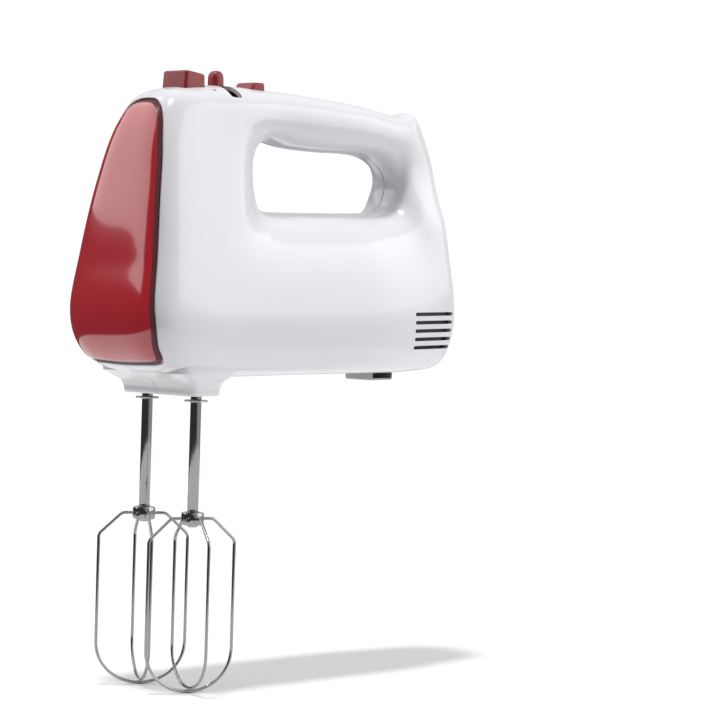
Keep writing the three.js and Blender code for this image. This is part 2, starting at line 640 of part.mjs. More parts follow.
drive.add(piece('gear_plate_lower', gearPlate(MOTOR_Z - 9, SPINDLE_R + GAP), nylon));
drive.add(piece('gear_plate_upper', gearPlate(MOTOR_Z + 7, SPINDLE_R + GAP), nylon));

const yoke = roundedBlock(24, 5, 2, 86.2, 88.6);
drive.add(piece('ejector_yoke', yoke, nylon));

const motor = new THREE.Group();
motor.position.z = MOTOR_Z;
drive.add(motor);
motor.add(piece('motor_shaft', wormShaft(), steel));
motor.add(piece('armature_core', slottedDrum(13, 3.3, 3.4, 12, 2.2, 36.5, 61.5), laminations));
const WINDING = [[3.6, 6.6], [3.6, 0], [11, 0], [11.6, 1.6], [11, 5], [7, 6.6]];
const frontWinding = alongY(lathe(WINDING, 14).rotateX(Math.PI)).translate(0, 36.2, 0);
motor.add(piece('winding_front', frontWinding, copper));
motor.add(piece('winding_rear', alongY(lathe(WINDING, 14)).translate(0, 61.8, 0), copper));
motor.add(piece('commutator', slottedDrum(7, 3.3, 1, 12, 0.6, 71.5, 82), copper));
motor.add(piece('cooling_fan', coolingFan(), darkPlastic));
motor.add(piece('stator_stack', statorStack(), laminations));
motor.add(piece('front_bearing', alongY(tube(6, 2.7, 0, 3.4, 16)).translate(0, -19.4, 0), brass));
motor.add(piece('front_bearing_bracket', bearingBracket(-19.4, 3.4, 12, 12, 6.3), nylon));
motor.add(piece('centre_bearing', alongY(tube(7, 3.3, 0, 4, 16)).translate(0, 20, 0), brass));
motor.add(piece('centre_bearing_bracket', bearingBracket(20, 4, 24, 17, 7.3), nylon));
motor.add(piece('rear_bearing', alongY(tube(7, 3.3, 0, 4, 16)).translate(0, 90, 0), brass));
motor.add(piece('rear_bearing_bracket', bearingBracket(90, 4, 24, 17, 7.3), nylon));
[['right', 1], ['left', -1]].forEach(([name, side]) => {
  motor.add(piece(`${name}_field_coil`, fieldCoil(side), copper));
  motor.add(piece(`${name}_brush_holder`, brushHolder(side), brass));
  motor.add(piece(`${name}_carbon_brush`, carbonBrush(side), carbon));

  const spindle = new THREE.Group();
  spindle.position.x = side * SPINDLE_X;
  drive.add(spindle);
  spindle.add(piece(`${name}_spindle`, tube(SPINDLE_R, SHAFT_R + GAP, 3.6, 52, 18), steel));
  const wheel = piece(`${name}_worm_wheel`, toothedWheel(), nylon);
  wheel.position.z = MOTOR_Z;
  spindle.add(wheel);
  const washer = tube(9, SPINDLE_R + GAP, MOTOR_Z - 6.3, MOTOR_Z - 4.5, 18);
  spindle.add(piece(`${name}_thrust_washer`, washer, brass));
  spindle.add(piece(`${name}_push_pin`, rod(SHAFT_R - 0.1, SHAFT_TOP + GAP, 85.9, 12), steel));
  drive.add(beater(name, side * SPINDLE_X, side > 0 ? 72.5 : 62.5));
});

export default mixer;
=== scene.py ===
"""Electric hand mixer with two wire beaters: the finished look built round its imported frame."""

import math

import bmesh
import bpy
import numpy as np
from bpy.props import FloatProperty, FloatVectorProperty, IntProperty, PointerProperty
from mathutils import Matrix, Vector


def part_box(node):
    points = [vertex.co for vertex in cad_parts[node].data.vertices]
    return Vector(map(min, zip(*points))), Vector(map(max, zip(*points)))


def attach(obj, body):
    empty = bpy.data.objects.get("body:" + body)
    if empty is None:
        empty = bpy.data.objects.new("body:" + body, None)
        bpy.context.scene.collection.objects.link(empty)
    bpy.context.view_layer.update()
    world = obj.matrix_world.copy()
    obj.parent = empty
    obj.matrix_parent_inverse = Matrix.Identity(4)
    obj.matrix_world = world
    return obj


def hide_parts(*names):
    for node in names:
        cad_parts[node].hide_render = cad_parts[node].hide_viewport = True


bl_info = {
    "name": "Hand Mixer",
    "version": (1, 0, 0),
    "blender": (4, 5, 0),
    "location": "View3D > Sidebar > Hand Mixer",
    "description": "Builds a two-beater hand mixer round its packed frame",
    "category": "Add Mesh",
}

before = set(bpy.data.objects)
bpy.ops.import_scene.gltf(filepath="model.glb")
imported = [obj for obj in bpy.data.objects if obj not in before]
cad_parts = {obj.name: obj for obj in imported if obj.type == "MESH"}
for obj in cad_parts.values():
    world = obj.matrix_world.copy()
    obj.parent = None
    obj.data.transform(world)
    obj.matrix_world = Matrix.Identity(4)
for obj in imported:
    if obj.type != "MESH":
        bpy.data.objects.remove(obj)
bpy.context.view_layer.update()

MM = 0.001
SHIFT_Y = -65.0  # mm, puts the middle of the mixer's length at Y = 0
NOSE_TOLERANCE = 0.05  # mm
VENT_Y, VENT_Z = 145, 161.6  # mm, middle of the lowest air slot
SOCKET_X = 18.4  # mm, from the middle plane to each beater socket
HUB_Z = -0.0555  # m, where the cage wires leave the hub, from the shaft's collar
LEVER_AXIS_Z = 0.25  # m, height of the pin on which the speed lever turns

# Stations round the handle opening in mm: outer Y, outer Z, opening Y, opening Z, squareness.
STATIONS = np.array([
    [-40.0, 178, 41.0, 236.0, 5.1], [-36.5, 205, 40.2, 242.0, 5.0],
    [-30.4, 240, 40.5, 249.0, 4.9], [-23.4, 268, 43.0, 256.0, 4.2],
    [-15.2, 281.2, 47.5, 260.3, 3.8], [2, 286.4, 53.0, 262.0, 2.7],
    [25, 287.5, 60.0, 261.2, 2.4], [46, 286.8, 68.0, 259.4, 2.3],
    [69, 285.6, 80.0, 258.2, 2.3], [93, 283.6, 93.0, 257.6, 2.3],
    [118, 280.9, 108.0, 257.4, 2.3], [134, 278.0, 120.0, 256.3, 2.3],
    [142, 277.6, 127.0, 254.0, 2.3], [149.6, 279.0, 131.5, 251.0, 2.4],
    [155.8, 269, 134.3, 247.5, 2.6], [162.4, 252, 135.6, 243.0, 2.8],
    [163.8, 225, 135.2, 238.5, 3.0], [166.8, 198, 133.5, 234.0, 3.0],
    [169.4, 178, 130.0, 230.5, 3.1], [169.0, 163.5, 124.0, 228.6, 3.2],
    [161.5, 151.6, 114.0, 228.0, 3.6], [140, 148.7, 104.0, 227.8, 4.2],
    [100, 148.7, 90.0, 227.7, 4.6], [60, 148.7, 76.0, 227.6, 4.6],
    [20, 148.7, 62.0, 227.6, 4.6], [-8, 149.6, 53.0, 227.8, 4.8],
    [-25.4, 153.2, 46.5, 229.0, 4.7], [-35.9, 163.0, 42.7, 231.5, 5.0],
])
OUTER_RAIL = STATIONS[:, [0, 1, 4]] * (1, 1, 10)
OPENING_RAIL = STATIONS[:, [2, 3, 2]] * (1, 1, 0)
OPENING_SQUARENESS = 2.6

# Socket boss under the nose in mm: half X, front Y, rear Y, corner, Z.
BOSS_RINGS = np.array([
    [26.6, -8.8, 8.8, 3.8, 140.5], [27, -9.2, 9.2, 4, 141.0], [27.3, -9.8, 9.5, 4.3, 144.2],
    [28.2, -11.4, 11, 5, 146.8], [30, -15, 14, 6, 148.8], [32, -20, 17, 7, 151.4],
    [32, -20, 17, 7, 158],
])
# Nose plate outline in mm from its top down one side: half width, Z.
PLATE_EDGE = [
    [6, 279.2], [11.6, 276.4], [15.8, 270.5], [20.5, 257], [23.6, 243], [28.1, 216], [31.5, 187.5],
    [31.8, 173], [30.0, 164], [27.0, 157], [13, 155.2],
]
# Words in the names of the frame's pieces that tell their finish, the first match first.
FINISH_WORDS = (
    ("ground_steel", "housing_screw speed_lever_pin"), ("white_shell", "housing"),
    ("dark_red_plastic", "track"), ("red_plastic", "front_panel button speed_lever"),
    ("grey_plastic", "cord_gland"), ("nylon", "cradle"), ("dark_plastic", "switch"),
    ("circuit_board", "board"), ("nylon", "bracket suppressor terminal plate yoke worm_wheel"),
    ("dark_plastic", "fan"), ("laminated_steel", "core stator"),
    ("copper_wire", "winding coil commutator"), ("sintered_brass", "holder"), ("carbon", "carbon"),
    ("sintered_brass", "bearing washer"), ("ground_steel", "motor_shaft spindle pin"),
    ("chromed_steel", "beater wire"),
)
# Name, kind, bearing from the nose, elevation, distance, width (or sun angle), height, power.
LIGHTS = (
    ("front_box", "AREA", -52, 36.5, 1.5, 1.3, 1.385, 9.8),
    ("side_box", "AREA", 134, 22, 1.8, 2.0, 1.3, 14.0),
    ("overhead", "SUN", 20, 79, 2.0, 7.0, 0.0, 1.9),
)
BRIGHT_WAY = (0.35, 1.0, 1.0)  # side of the room that shines on the mixer
BACKDROP_STRENGTH = 1.05
SCREW_PLACES = [[-24, 166], [-8, 265], [147, 260], [150, 163]]  # mm, Y and Z


# ---------- sizes and colours a user may change ----------
def length(name, text, value, low=0.0):
    return FloatProperty(name=name, description=text, default=value, min=low, subtype="DISTANCE",
                         unit="LENGTH", precision=5)


def angle_size(name, text, degrees):
    return FloatProperty(name=name, description=text, default=math.radians(degrees), subtype="ANGLE",
                         unit="ROTATION")


def colour(name, text, value):
    return FloatVectorProperty(name=name, description=text, default=value, size=3, min=0.0, max=1.0,
                               subtype="COLOR")


class MixerShellSizes(bpy.types.PropertyGroup):
    half_width: length("Half width", "Half the widest breadth of the body", 0.0368)
    grip_half_width: length("Grip half width", "Half the breadth of the handle", 0.0173)
    nose_flare: length("Nose flare", "How much further out each flank stands at the nose", 0.002)
    wall: length("Wall", "Thickness of the shell", 0.0024)
    seam: length("Half seam", "Half the gap between the two shell halves", 0.00015)
    seam_round: length("Seam rounding", "Rounding of the shell's meeting edges", 0.00022)
    vent_height: length("Vent height", "Height of one air slot", 0.0018)
    vent_length: length("Vent length", "Length of one air slot", 0.032)
    vent_pitch: length("Vent pitch", "Distance between air slots", 0.00415)
    vent_count: IntProperty(name="Vents", description="Air slots on each side", default=5, min=1)
    rings: IntProperty(name="Rings", description="Rings between two stations", default=8, min=1)
    facets: IntProperty(name="Facets", description="Facets over half a section", default=60, min=8)


class MixerPlateSizes(bpy.types.PropertyGroup):
    proud: length("Proud", "How far the plate stands off the body", 0.00055)
    depth: length("Depth", "How far the plate reaches into its recess", 0.0012)
    border: length("Border", "Width of the sloping border", 0.0021)
    gap: length("Gap", "Clearance round the plate", 0.00035)
    recess: length("Recess", "Depth of the recess in the body", 0.0014)


class MixerControlSizes(bpy.types.PropertyGroup):
    edge: length("Edge", "Rounding of the keys' edges", 0.0012)
    eject_slope: FloatProperty(name="Eject slope", description="Fall of the eject key's top",
                               default=0.13, min=0.0, max=0.5)
    eject_lean: length("Eject lean", "How far the eject key's front leans back", 0.0022)
    turbo_lean: length("Turbo lean", "How far the boost key's front leans back", 0.0024)
    mark_width: length("Mark width", "Breadth of the zero mark", 0.0017)


class MixerBeaterSizes(bpy.types.PropertyGroup):
    cage_radius: length("Cage radius", "Centre line of the cage wires", 0.02165)
    wire_radius: length("Wire radius", "Half the thickness of a cage wire", 0.00075)
    shaft_radius: length("Shaft radius", "Half the thickness of the shaft", 0.0026)
    half_spacing: length("Half spacing", "Half the distance between the shafts", 0.0184)
    seat: length("Seat", "Height of the shaft collars", 0.138)
    tilt: angle_size("Tilt", "Forward lean of the shafts", 1.31)
    wire_sides: IntProperty(name="Wire sides", description="Facets round a wire", default=16, min=6)


class MixerColours(bpy.types.PropertyGroup):
    shell: colour("Shell", "Body plastic", (0.745, 0.745, 0.775))
    red: colour("Red", "Nose plate", (0.47, 0.018, 0.030))
    key_red: colour("Key red", "Keys and lever", (0.27, 0.016, 0.022))
    # Painted shade: the sloping border of the nose plate is the same red plastic, darkened here to
    # stand in for the shade it shows
    edge_red: colour("Edge red", "Sloping border of the nose plate", (0.085, 0.002, 0.006))
    dark_red: colour("Dark red", "Lever track", (0.16, 0.008, 0.014))
    grey: colour("Grey", "Cord inlet", (0.42, 0.42, 0.45))
    dark: colour("Dark", "Fan and supports", (0.022, 0.022, 0.026))
    nylon: colour("Nylon", "Gears and carriers", (0.70, 0.66, 0.54))
    copper: colour("Copper", "Windings", (0.62, 0.24, 0.09))
    board: colour("Board", "Circuit board", (0.02, 0.11, 0.045))
    chrome: colour("Chrome", "Beaters", (0.34, 0.333, 0.325))


class MixerStudioSizes(bpy.types.PropertyGroup):
    floor_size: length("Floor", "Radius of the floor", 0.5)
    camera_distance: length("Camera distance", "From the middle axis to the camera", 1.4138)
    camera_height: length("Camera height", "Height of the camera over the floor", 0.2142)
    lens: FloatProperty(name="Lens", description="Focal length in millimetres", default=148.7)
    azimuth: angle_size("Azimuth", "Camera bearing from the nose", 51.2)
    pan: angle_size("Pan", "Turn of the camera to its right", 3.62)
    pitch: angle_size("Pitch", "Downward tilt of the camera", 2.29)
    roll: angle_size("Roll", "Turn of the camera about its own axis", 0.81)


# ---------- finishes ----------
PLASTIC_CLOUDS = 22.0  # noise scales
METAL_CLOUDS = 60.0
BAND_GRAIN = 300.0


class Finish:
    """One node material: a Principled shader with texture read from Object coordinates."""

    def __init__(self, name, roughness, metallic=0.0):
        self.material = bpy.data.materials.new(name)
        self.material.use_nodes = True
        self.tree = self.material.node_tree
        self.shader = self.tree.nodes["Principled BSDF"]
        self.shader.inputs["Roughness"].default_value = roughness
        self.shader.inputs["Metallic"].default_value = metallic
        self.place = self.add("ShaderNodeTexCoord").outputs["Object"]

    def add(self, kind, **settings):
        node = self.tree.nodes.new(kind)
        for key, value in settings.items():
            if key in node.inputs:
                node.inputs[key].default_value = value
            else:
                setattr(node, key, value)
        return node

    def join(self, start, end):
        self.tree.links.new(start, end)

    def noise(self, scale, detail=3.0, stretch=(1, 1, 1)):
        mapping = self.add("ShaderNodeMapping", Scale=stretch)
        self.join(self.place, mapping.inputs["Vector"])
        node = self.add("ShaderNodeTexNoise", Scale=scale, Detail=detail)
        self.join(mapping.outputs["Vector"], node.inputs["Vector"])
        return node.outputs["Fac"]

    def bands(self, scale, direction, distortion):
        node = self.add("ShaderNodeTexWave", bands_direction=direction, Scale=scale,
                        Distortion=distortion)
        self.join(self.place, node.inputs["Vector"])
        return node.outputs["Fac"]

    def spread(self, factor, low, high):
        node = self.add("ShaderNodeMapRange")
        node.inputs["To Min"].default_value = low
        node.inputs["To Max"].default_value = high
        self.join(factor, node.inputs["Value"])
        return node.outputs["Result"]

    def tint(self, factor, base, low, high):
        ramp = self.add("ShaderNodeValToRGB")
        for element, gain in zip(ramp.color_ramp.elements, (low, high)):
            element.color = (*[min(1.0, part * gain) for part in base], 1)
        self.join(factor, ramp.inputs["Fac"])
        self.join(ramp.outputs["Color"], self.shader.inputs["Base Color"])

    def gloss(self, factor, low, high):
        self.join(self.spread(factor, low, high), self.shader.inputs["Roughness"])

    def relief(self, factor, depth):
        bump = self.add("ShaderNodeBump", Strength=1.0, Distance=depth)
        self.join(factor, bump.inputs["Height"])
        self.join(bump.outputs["Normal"], self.shader.inputs["Normal"])

    def set(self, **values):
        for key, value in values.items():
            self.shader.inputs[key.replace("_", " ")].default_value = value


def moulded(name, base, rough, grain, depth, coat=0.0, cloud=0.04, soft=0.0):
    finish = Finish(name, rough)
    finish.tint(finish.noise(PLASTIC_CLOUDS), base, 1 - cloud, 1 + cloud)
    fine = finish.noise(grain, 4.0)
    finish.gloss(fine, rough * 0.82, rough * 1.2)
    finish.relief(fine, depth)
    finish.set(Coat_Weight=coat, Coat_Roughness=0.05)
    if soft:
        finish.set(Subsurface_Weight=soft, Subsurface_Radius=(0.004, 0.003, 0.002),
                   Subsurface_Scale=1.0)
    return finish.material


def banded(name, base, rough, scale, direction, metallic, depth, low, high):
    finish = Finish(name, rough, metallic)
    band = finish.bands(scale, direction, 0.2)
    finish.tint(band, base, low, high)
    finish.relief(band, depth)
    finish.gloss(finish.noise(BAND_GRAIN), rough * 0.8, rough * 1.25)
    return finish.material


def metal(name, base, rough, grain, depth, stretch, spread):
    finish = Finish(name, rough, 1.0)
    fine = finish.noise(grain, 5.0, stretch)
    finish.tint(finish.noise(METAL_CLOUDS), base, 1 - spread, 1 + spread)
    finish.gloss(fine, rough * 0.6, rough * 1.5)
    finish.relief(fine, depth)
    return finish.material


def make_finishes(colours):
    """Every finish of the mixer by its name."""
    made = {}
    # Colour, roughness, grain scale, grain depth, clear coat, cloudiness, softness.
    for name, *row in (
            ("white_shell", colours.shell, 0.2, 900.0, 0.00001, 0.35, 0.012),
            ("red_plastic", colours.key_red, 0.36, 1400.0, 0.000015, 0.0, 0.06),
            ("nose_red", colours.red, 0.13, 500.0, 0.000003, 1.0, 0.05),
            # painted shade: a darker copy of the plate red for its sloping border
            ("nose_edge_red", colours.edge_red, 0.3, 700.0, 0.000004, 0.0, 0.08),
            ("dark_red_plastic", colours.dark_red, 0.4, 2400.0, 0.00002),
            ("grey_plastic", colours.grey, 0.42, 2600.0, 0.00003, 0.0, 0.05),
            ("dark_plastic", colours.dark, 0.5, 2600.0, 0.00003, 0.0, 0.12),
            ("nylon", colours.nylon, 0.42, 1500.0, 0.00002, 0.0, 0.05, 0.15),
            ("carbon", (0.016, 0.016, 0.018), 0.6, 1800.0, 0.00005, 0.0, 0.3)):
        made[name] = moulded(name, *row)
    # Colour, roughness, band scale, band direction, metallic, band depth, darkest, lightest.
    for name, *row in (
            ("circuit_board", colours.board, 0.35, 220.0, "X", 0.0, 0.00002, 0.8, 1.7),
            ("laminated_steel", (0.30, 0.31, 0.33), 0.4, 620.0, "Y", 0.9, 0.00006, 0.55, 1.25),
            ("copper_wire", colours.copper, 0.3, 560.0, "Y", 0.9, 0.0001, 0.6, 1.2)):
        made[name] = banded(name, *row)
    # Colour, roughness, grain scale, grain depth, stretch of the grain, cloudiness.
    for name, *row in (
            ("sintered_brass", (0.60, 0.44, 0.17), 0.34, 3200.0, 0.00003, (1, 1, 1), 0.15),
            ("chromed_steel", colours.chrome, 0.10, 420.0, 0.000004, (1, 1, 0.12), 0.05),
            ("ground_steel", (0.50, 0.50, 0.52), 0.24, 900.0, 0.00001, (0.1, 1, 1), 0.08)):
        made[name] = metal(name, *row)
    return made


# ---------- mesh helpers ----------
def in_row(points):
    """Points in mm on the mixer's own axes as metres in the row frame."""
    return (np.asarray(points, float) + (0, SHIFT_Y, 0)) * MM


def new_object(name, points, faces, smooth_angle=35.0):
    mesh = bpy.data.meshes.new(name)
    mesh.from_pydata([tuple(p) for p in points], [], [tuple(f) for f in faces])
    mesh.update()
    obj = bpy.data.objects.new(name, mesh)
    bpy.context.scene.collection.objects.link(obj)
    soften(obj, smooth_angle)
    return obj


def soften(obj, angle=35.0):
    """Shades a piece smooth, with its edges past the angle left sharp."""
    work = bmesh.new()
    work.from_mesh(obj.data)
    limit = math.radians(angle)
    for face in work.faces:
        face.smooth = True
    for edge in work.edges:
        edge.smooth = len(edge.link_faces) == 2 and edge.calc_face_angle(0.0) < limit
    work.to_mesh(obj.data)
    work.free()


def weld(obj, distance=0.000001):
    """Merges doubles and turns every face outwards."""
    work = bmesh.new()
    work.from_mesh(obj.data)
    bmesh.ops.remove_doubles(work, verts=work.verts, dist=distance)
    bmesh.ops.dissolve_degenerate(work, edges=work.edges, dist=distance / 2)
    bmesh.ops.recalc_face_normals(work, faces=work.faces)
    work.to_mesh(obj.data)
    work.free()


def drop(obj):
    mesh = obj.data
    bpy.data.objects.remove(obj)
    bpy.data.meshes.remove(mesh)


def settle(obj):
    """Turns the object's modifiers into plain mesh."""
    graph = bpy.context.evaluated_depsgraph_get()
    graph.update()
    mesh = bpy.data.meshes.new_from_object(obj.evaluated_get(graph))
    obj.modifiers.clear()
    old = obj.data
    obj.data = mesh
    bpy.data.meshes.remove(old)
    return obj


def carve(obj, tool, operation="DIFFERENCE"):
    """Cuts, joins or crosses a piece with a tool, which is used up."""
    step = obj.modifiers.new("carve", "BOOLEAN")
    step.object = tool
    step.operation = operation
    step.solver = "MANIFOLD"
    settle(obj)
    drop(tool)
    if not obj.data.polygons:
        raise RuntimeError(f"{obj.name} is empty after a cut")
    return obj


def bridge(rings, count, closed=False, flip=False):
    """Quads between consecutive rings of `count` points; closed joins the last ring to the first."""
    faces = []
    for ring in range(rings if closed else rings - 1):
        after = (ring + 1) % rings
        for k in range(count):
            ahead = (k + 1) % count
            face = (ring * count + k, ring * count + ahead, after * count + ahead, after * count + k)
            faces.append(face[::-1] if flip else face)
    return faces


def stacked(name, rings, smooth_angle=35.0):
    """A closed solid from a stack of equal rings, each end closed on its middle."""
    count = len(rings[0])
    points = [p for ring in rings for p in ring]
    faces = bridge(len(rings), count)
    for ring, turn in ((0, -1), (len(rings) - 1, 1)):
        middle = len(points)
        points.append(np.mean(rings[ring], axis=0))
        base = ring * count
        for k in range(count):
            pair = (base + k, base + (k + 1) % count)
            faces.append((*pair, middle) if turn > 0 else (*pair[::-1], middle))
    return new_object(name, points, faces, smooth_angle)


def turned(name, profile, segments=48, smooth_angle=35.0):
    """A solid of revolution about Z from (radius, height) points that close on themselves."""
    angles = np.arange(segments) * 2 * math.pi / segments
    points = [(r * math.cos(a), r * math.sin(a), z) for a in angles for r, z in profile]
    obj = new_object(name, points, bridge(segments, len(profile), closed=True), smooth_angle)
    weld(obj)
    soften(obj, smooth_angle)
    return obj


def rounded_rect(half_x, half_y, corner, steps=6):
    """Points of a flat rectangle with round corners."""
    points = []
    for quarter, (sx, sy) in enumerate(((1, 1), (-1, 1), (-1, -1), (1, -1))):
        for step in range(steps + 1):
            angle = (quarter + step / steps) * math.pi / 2
            points.append((sx * (half_x - corner) + corner * math.cos(angle),
                           sy * (half_y - corner) + corner * math.sin(angle)))
    return np.array(points)


def rounded_levels(low, high, foot, edge, steps=5):
    """(inset, height) levels of a block with a foot chamfer and a rounded top edge."""
    levels = [(foot, low), (0.0, low + foot)]
    for step in range(steps + 1):
        angle = step * math.pi / 2 / steps
        levels.append((edge * (1 - math.cos(angle)), high - edge + edge * math.sin(angle)))
    return levels


def key_block(name, half_x, half_y, corner, levels, shape=None, fill=(0.75, 0.5, 0.25)):
    """A rounded block through (inset, height) levels; shape may move its points, in metres."""
    rings = []
    for inset, z in levels:
        flat = rounded_rect(half_x - inset, half_y - inset, max(corner - inset, corner * 0.25))
        rings.append(np.column_stack((flat, np.full(len(flat), z))))
    for gain in fill:
        rings.append(rings[len(levels) - 1] * (gain, gain, 1))
    if shape is not None:
        rings = [shape(ring) for ring in rings]
    return stacked(name, rings)


def finish_piece(obj, body, slot, *nodes, finish=None):
    """Gives a piece its finish, its body and the frame nodes whose place it takes."""
    parts = [polygon.material_index for polygon in obj.data.polygons]
    obj.data.materials.clear()
    obj.data.materials.append(FINISHES[finish or slot])
    obj.data.polygons.foreach_set("material_index", parts)
    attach(obj, body)
    if nodes:
        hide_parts(*nodes)


def move_by(obj, matrix):
    obj.data.transform(matrix)
    obj.data.update()
    return obj


def set_at(obj, y):
    return move_by(obj, Matrix.Translation((0, y, 0)))


def seat_of(node):
    """Corners of a frame piece's box, its middle Y and its half sizes in X and Y."""
    least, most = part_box(node)
    half = (most - least) / 2
    return least, most, (least.y + most.y) / 2, half.x, half.y


# ---------- geometry nodes ----------
def new_tree(name, sockets):
    tree = bpy.data.node_groups.new(name, "GeometryNodeTree")
    tree.interface.new_socket("Geometry", in_out="INPUT", socket_type="NodeSocketGeometry")
    for label, kind, value in sockets:
        socket = tree.interface.new_socket(label, in_out="INPUT", socket_type="NodeSocket" + kind)
        if value is not None:
            socket.default_value = value
    tree.interface.new_socket("Geometry", in_out="OUTPUT", socket_type="NodeSocketGeometry")
    return tree


def put(tree, kind, **values):
    """A new node with its settings and inputs; an input may be a value or another's output."""
    node = tree.nodes.new(kind)
    for key, value in values.items():
        if hasattr(node, key):
            setattr(node, key, value)
            continue
        target = node.inputs[key.replace("_", " ")]
        if isinstance(value, bpy.types.NodeSocket):
            tree.links.new(value, target)
        else:
            target.default_value = value
    return node


def end_tree(tree, given, geometry):
    real = put(tree, "GeometryNodeRealizeInstances", Geometry=geometry)
    smooth = put(tree, "GeometryNodeSetShadeSmooth", Geometry=real.outputs[0])
    coat = put(tree, "GeometryNodeSetMaterial", Geometry=smooth.outputs[0],
               Material=given.outputs["Finish"])
    out = tree.nodes.new("NodeGroupOutput")
    tree.links.new(coat.outputs[0], out.inputs[0])


def wire_tree():
    """Sweeps a round wire along the path it is given."""
    tree = new_tree("Wire along a path", [
        ("Radius", "Float", 0.001), ("Sides", "Int", 12), ("Bend", "Float", 0.004),
        ("Step", "Float", 0.001), ("Finish", "Material", None)])
    given = tree.nodes.new("NodeGroupInput")
    path = put(tree, "GeometryNodeMeshToCurve", Mesh=given.outputs["Geometry"])
    bent = put(tree, "GeometryNodeFilletCurve", mode="POLY", Curve=path.outputs[0], Count=10,
               Radius=given.outputs["Bend"], Limit_Radius=True)
    even = put(tree, "GeometryNodeResampleCurve", mode="LENGTH", Curve=bent.outputs[0],
               Length=given.outputs["Step"])
    ring = put(tree, "GeometryNodeCurvePrimitiveCircle", Resolution=given.outputs["Sides"],
               Radius=given.outputs["Radius"])
    sweep = put(tree, "GeometryNodeCurveToMesh", Curve=even.outputs[0],
                Profile_Curve=ring.outputs[0], Fill_Caps=True)
    end_tree(tree, given, sweep.outputs[0])
    return tree


def row_tree():
    """Repeats a piece in a straight row."""
    tree = new_tree("Row of pieces", [
        ("Piece", "Object", None), ("Count", "Int", 1), ("Start", "Vector", None),
        ("Step", "Vector", None), ("Finish", "Material", None)])
    given = tree.nodes.new("NodeGroupInput")
    line = put(tree, "GeometryNodeMeshLine", Count=given.outputs["Count"],
               Start_Location=given.outputs["Start"], Offset=given.outputs["Step"])
    piece = put(tree, "GeometryNodeObjectInfo", Object=given.outputs["Piece"])
    copies = put(tree, "GeometryNodeInstanceOnPoints", Points=line.outputs[0],
                 Instance=piece.outputs["Geometry"])
    end_tree(tree, given, copies.outputs[0])
    return tree


def scatter_tree():
    """Puts a piece on each point it is given."""
    tree = new_tree("Piece on points", [("Piece", "Object", None), ("Finish", "Material", None)])
    given = tree.nodes.new("NodeGroupInput")
    piece = put(tree, "GeometryNodeObjectInfo", Object=given.outputs["Piece"])
    copies = put(tree, "GeometryNodeInstanceOnPoints", Points=given.outputs["Geometry"],
                 Instance=piece.outputs["Geometry"])
    end_tree(tree, given, copies.outputs[0])
    return tree


def grow(name, points, edges, tree, finish, **values):
    """Runs a tree over a path or points and returns the plain mesh it makes."""
    mesh = bpy.data.meshes.new(name)
    mesh.from_pydata([tuple(p) for p in points], edges, [])
    obj = bpy.data.objects.new(name, mesh)
    bpy.context.scene.collection.objects.link(obj)
    step = obj.modifiers.new("grow", "NODES")
    step.node_group = tree
    sockets = {item.name: item.identifier for item in tree.interface.items_tree
               if item.in_out == "INPUT"}
    for label, value in {**values, "Finish": FINISHES[finish]}.items():
        step[sockets[label]] = value
    settle(obj)
    piece = values.get("Piece")
    if piece is not None:
        drop(piece)
    if not obj.data.polygons:
        raise RuntimeError(f"{name} came out empty")
    return obj


# ---------- body surface ----------
def along(rail, turn):
    """Points of a closed centripetal curve at turns from 0 to 1."""
    count = len(rail)
    place = (np.asarray(turn, float) % 1.0) * count
    first = np.floor(place).astype(int)
    part = (place - first)[..., None]
    p0, p1, p2, p3 = (rail[(first + k) % count] for k in (-1, 0, 1, 2))
    gaps = [np.maximum(np.sum((b - a) ** 2, -1, keepdims=True), 1e-12) ** 0.25
            for a, b in ((p0, p1), (p1, p2), (p2, p3))]
    d0, d1, d2 = gaps
    t1 = ((p1 - p0) / d0 - (p2 - p0) / (d0 + d1) + (p2 - p1) / d1) * d1
    t2 = ((p2 - p1) / d1 - (p3 - p1) / (d1 + d2) + (p3 - p2) / d2) * d1
    c2 = -3 * p1 + 3 * p2 - 2 * t1 - t2
    c3 = 2 * p1 - 2 * p2 + t1 + t2
    return p1 + part * (t1 + part * (c2 + part * c3))


def ease(value, low, high):
    part = np.clip((value - low) / (high - low), 0, 1)
    return part * part * (3 - 2 * part)


def half_breadth(y, z, sizes):
    body = sizes.half_width / MM
    flare = sizes.nose_flare / MM * (1 - ease(y, -25, 15))
    flank = body - 15.2 * (np.maximum(0, z - 172) / 96) ** 1.53 + flare
    handle = ease(z, 220, 254) * ease(y, 22, 62)
    tail = 1 - 0.27 * ease(y, 95, 165)
    return (flank + (sizes.grip_half_width / MM - flank) * handle) * tail


def body_section(turn, angle, offset, sizes):
    """Y, Z, breadth there and the share of it, all in mm, of the body's own surface."""
    outer = along(OUTER_RAIL, turn)
    inner = along(OPENING_RAIL, turn)
    centre = (outer + inner)[..., :2] / 2
    reach = (outer - inner)[..., :2] / 2
    cos = -np.cos(angle)
    sin = np.sin(angle)
    n = np.where(cos > 0, outer[..., 2] / 10, OPENING_SQUARENESS)
    radius = (np.abs(cos) ** n + np.abs(sin) ** n) ** (-1 / n)
    scale = cos * radius * (1 + offset / np.hypot(reach[..., 0], reach[..., 1]))
    y = centre[..., 0] + reach[..., 0] * scale
    z = centre[..., 1] + reach[..., 1] * scale
    return y, z, half_breadth(y, z, sizes) + offset, sin * radius


def body_points(turn, angle, offset, sizes):
    y, z, breadth, share = body_section(turn, angle, offset, sizes)
    return np.stack((breadth * share, y, z), -1)


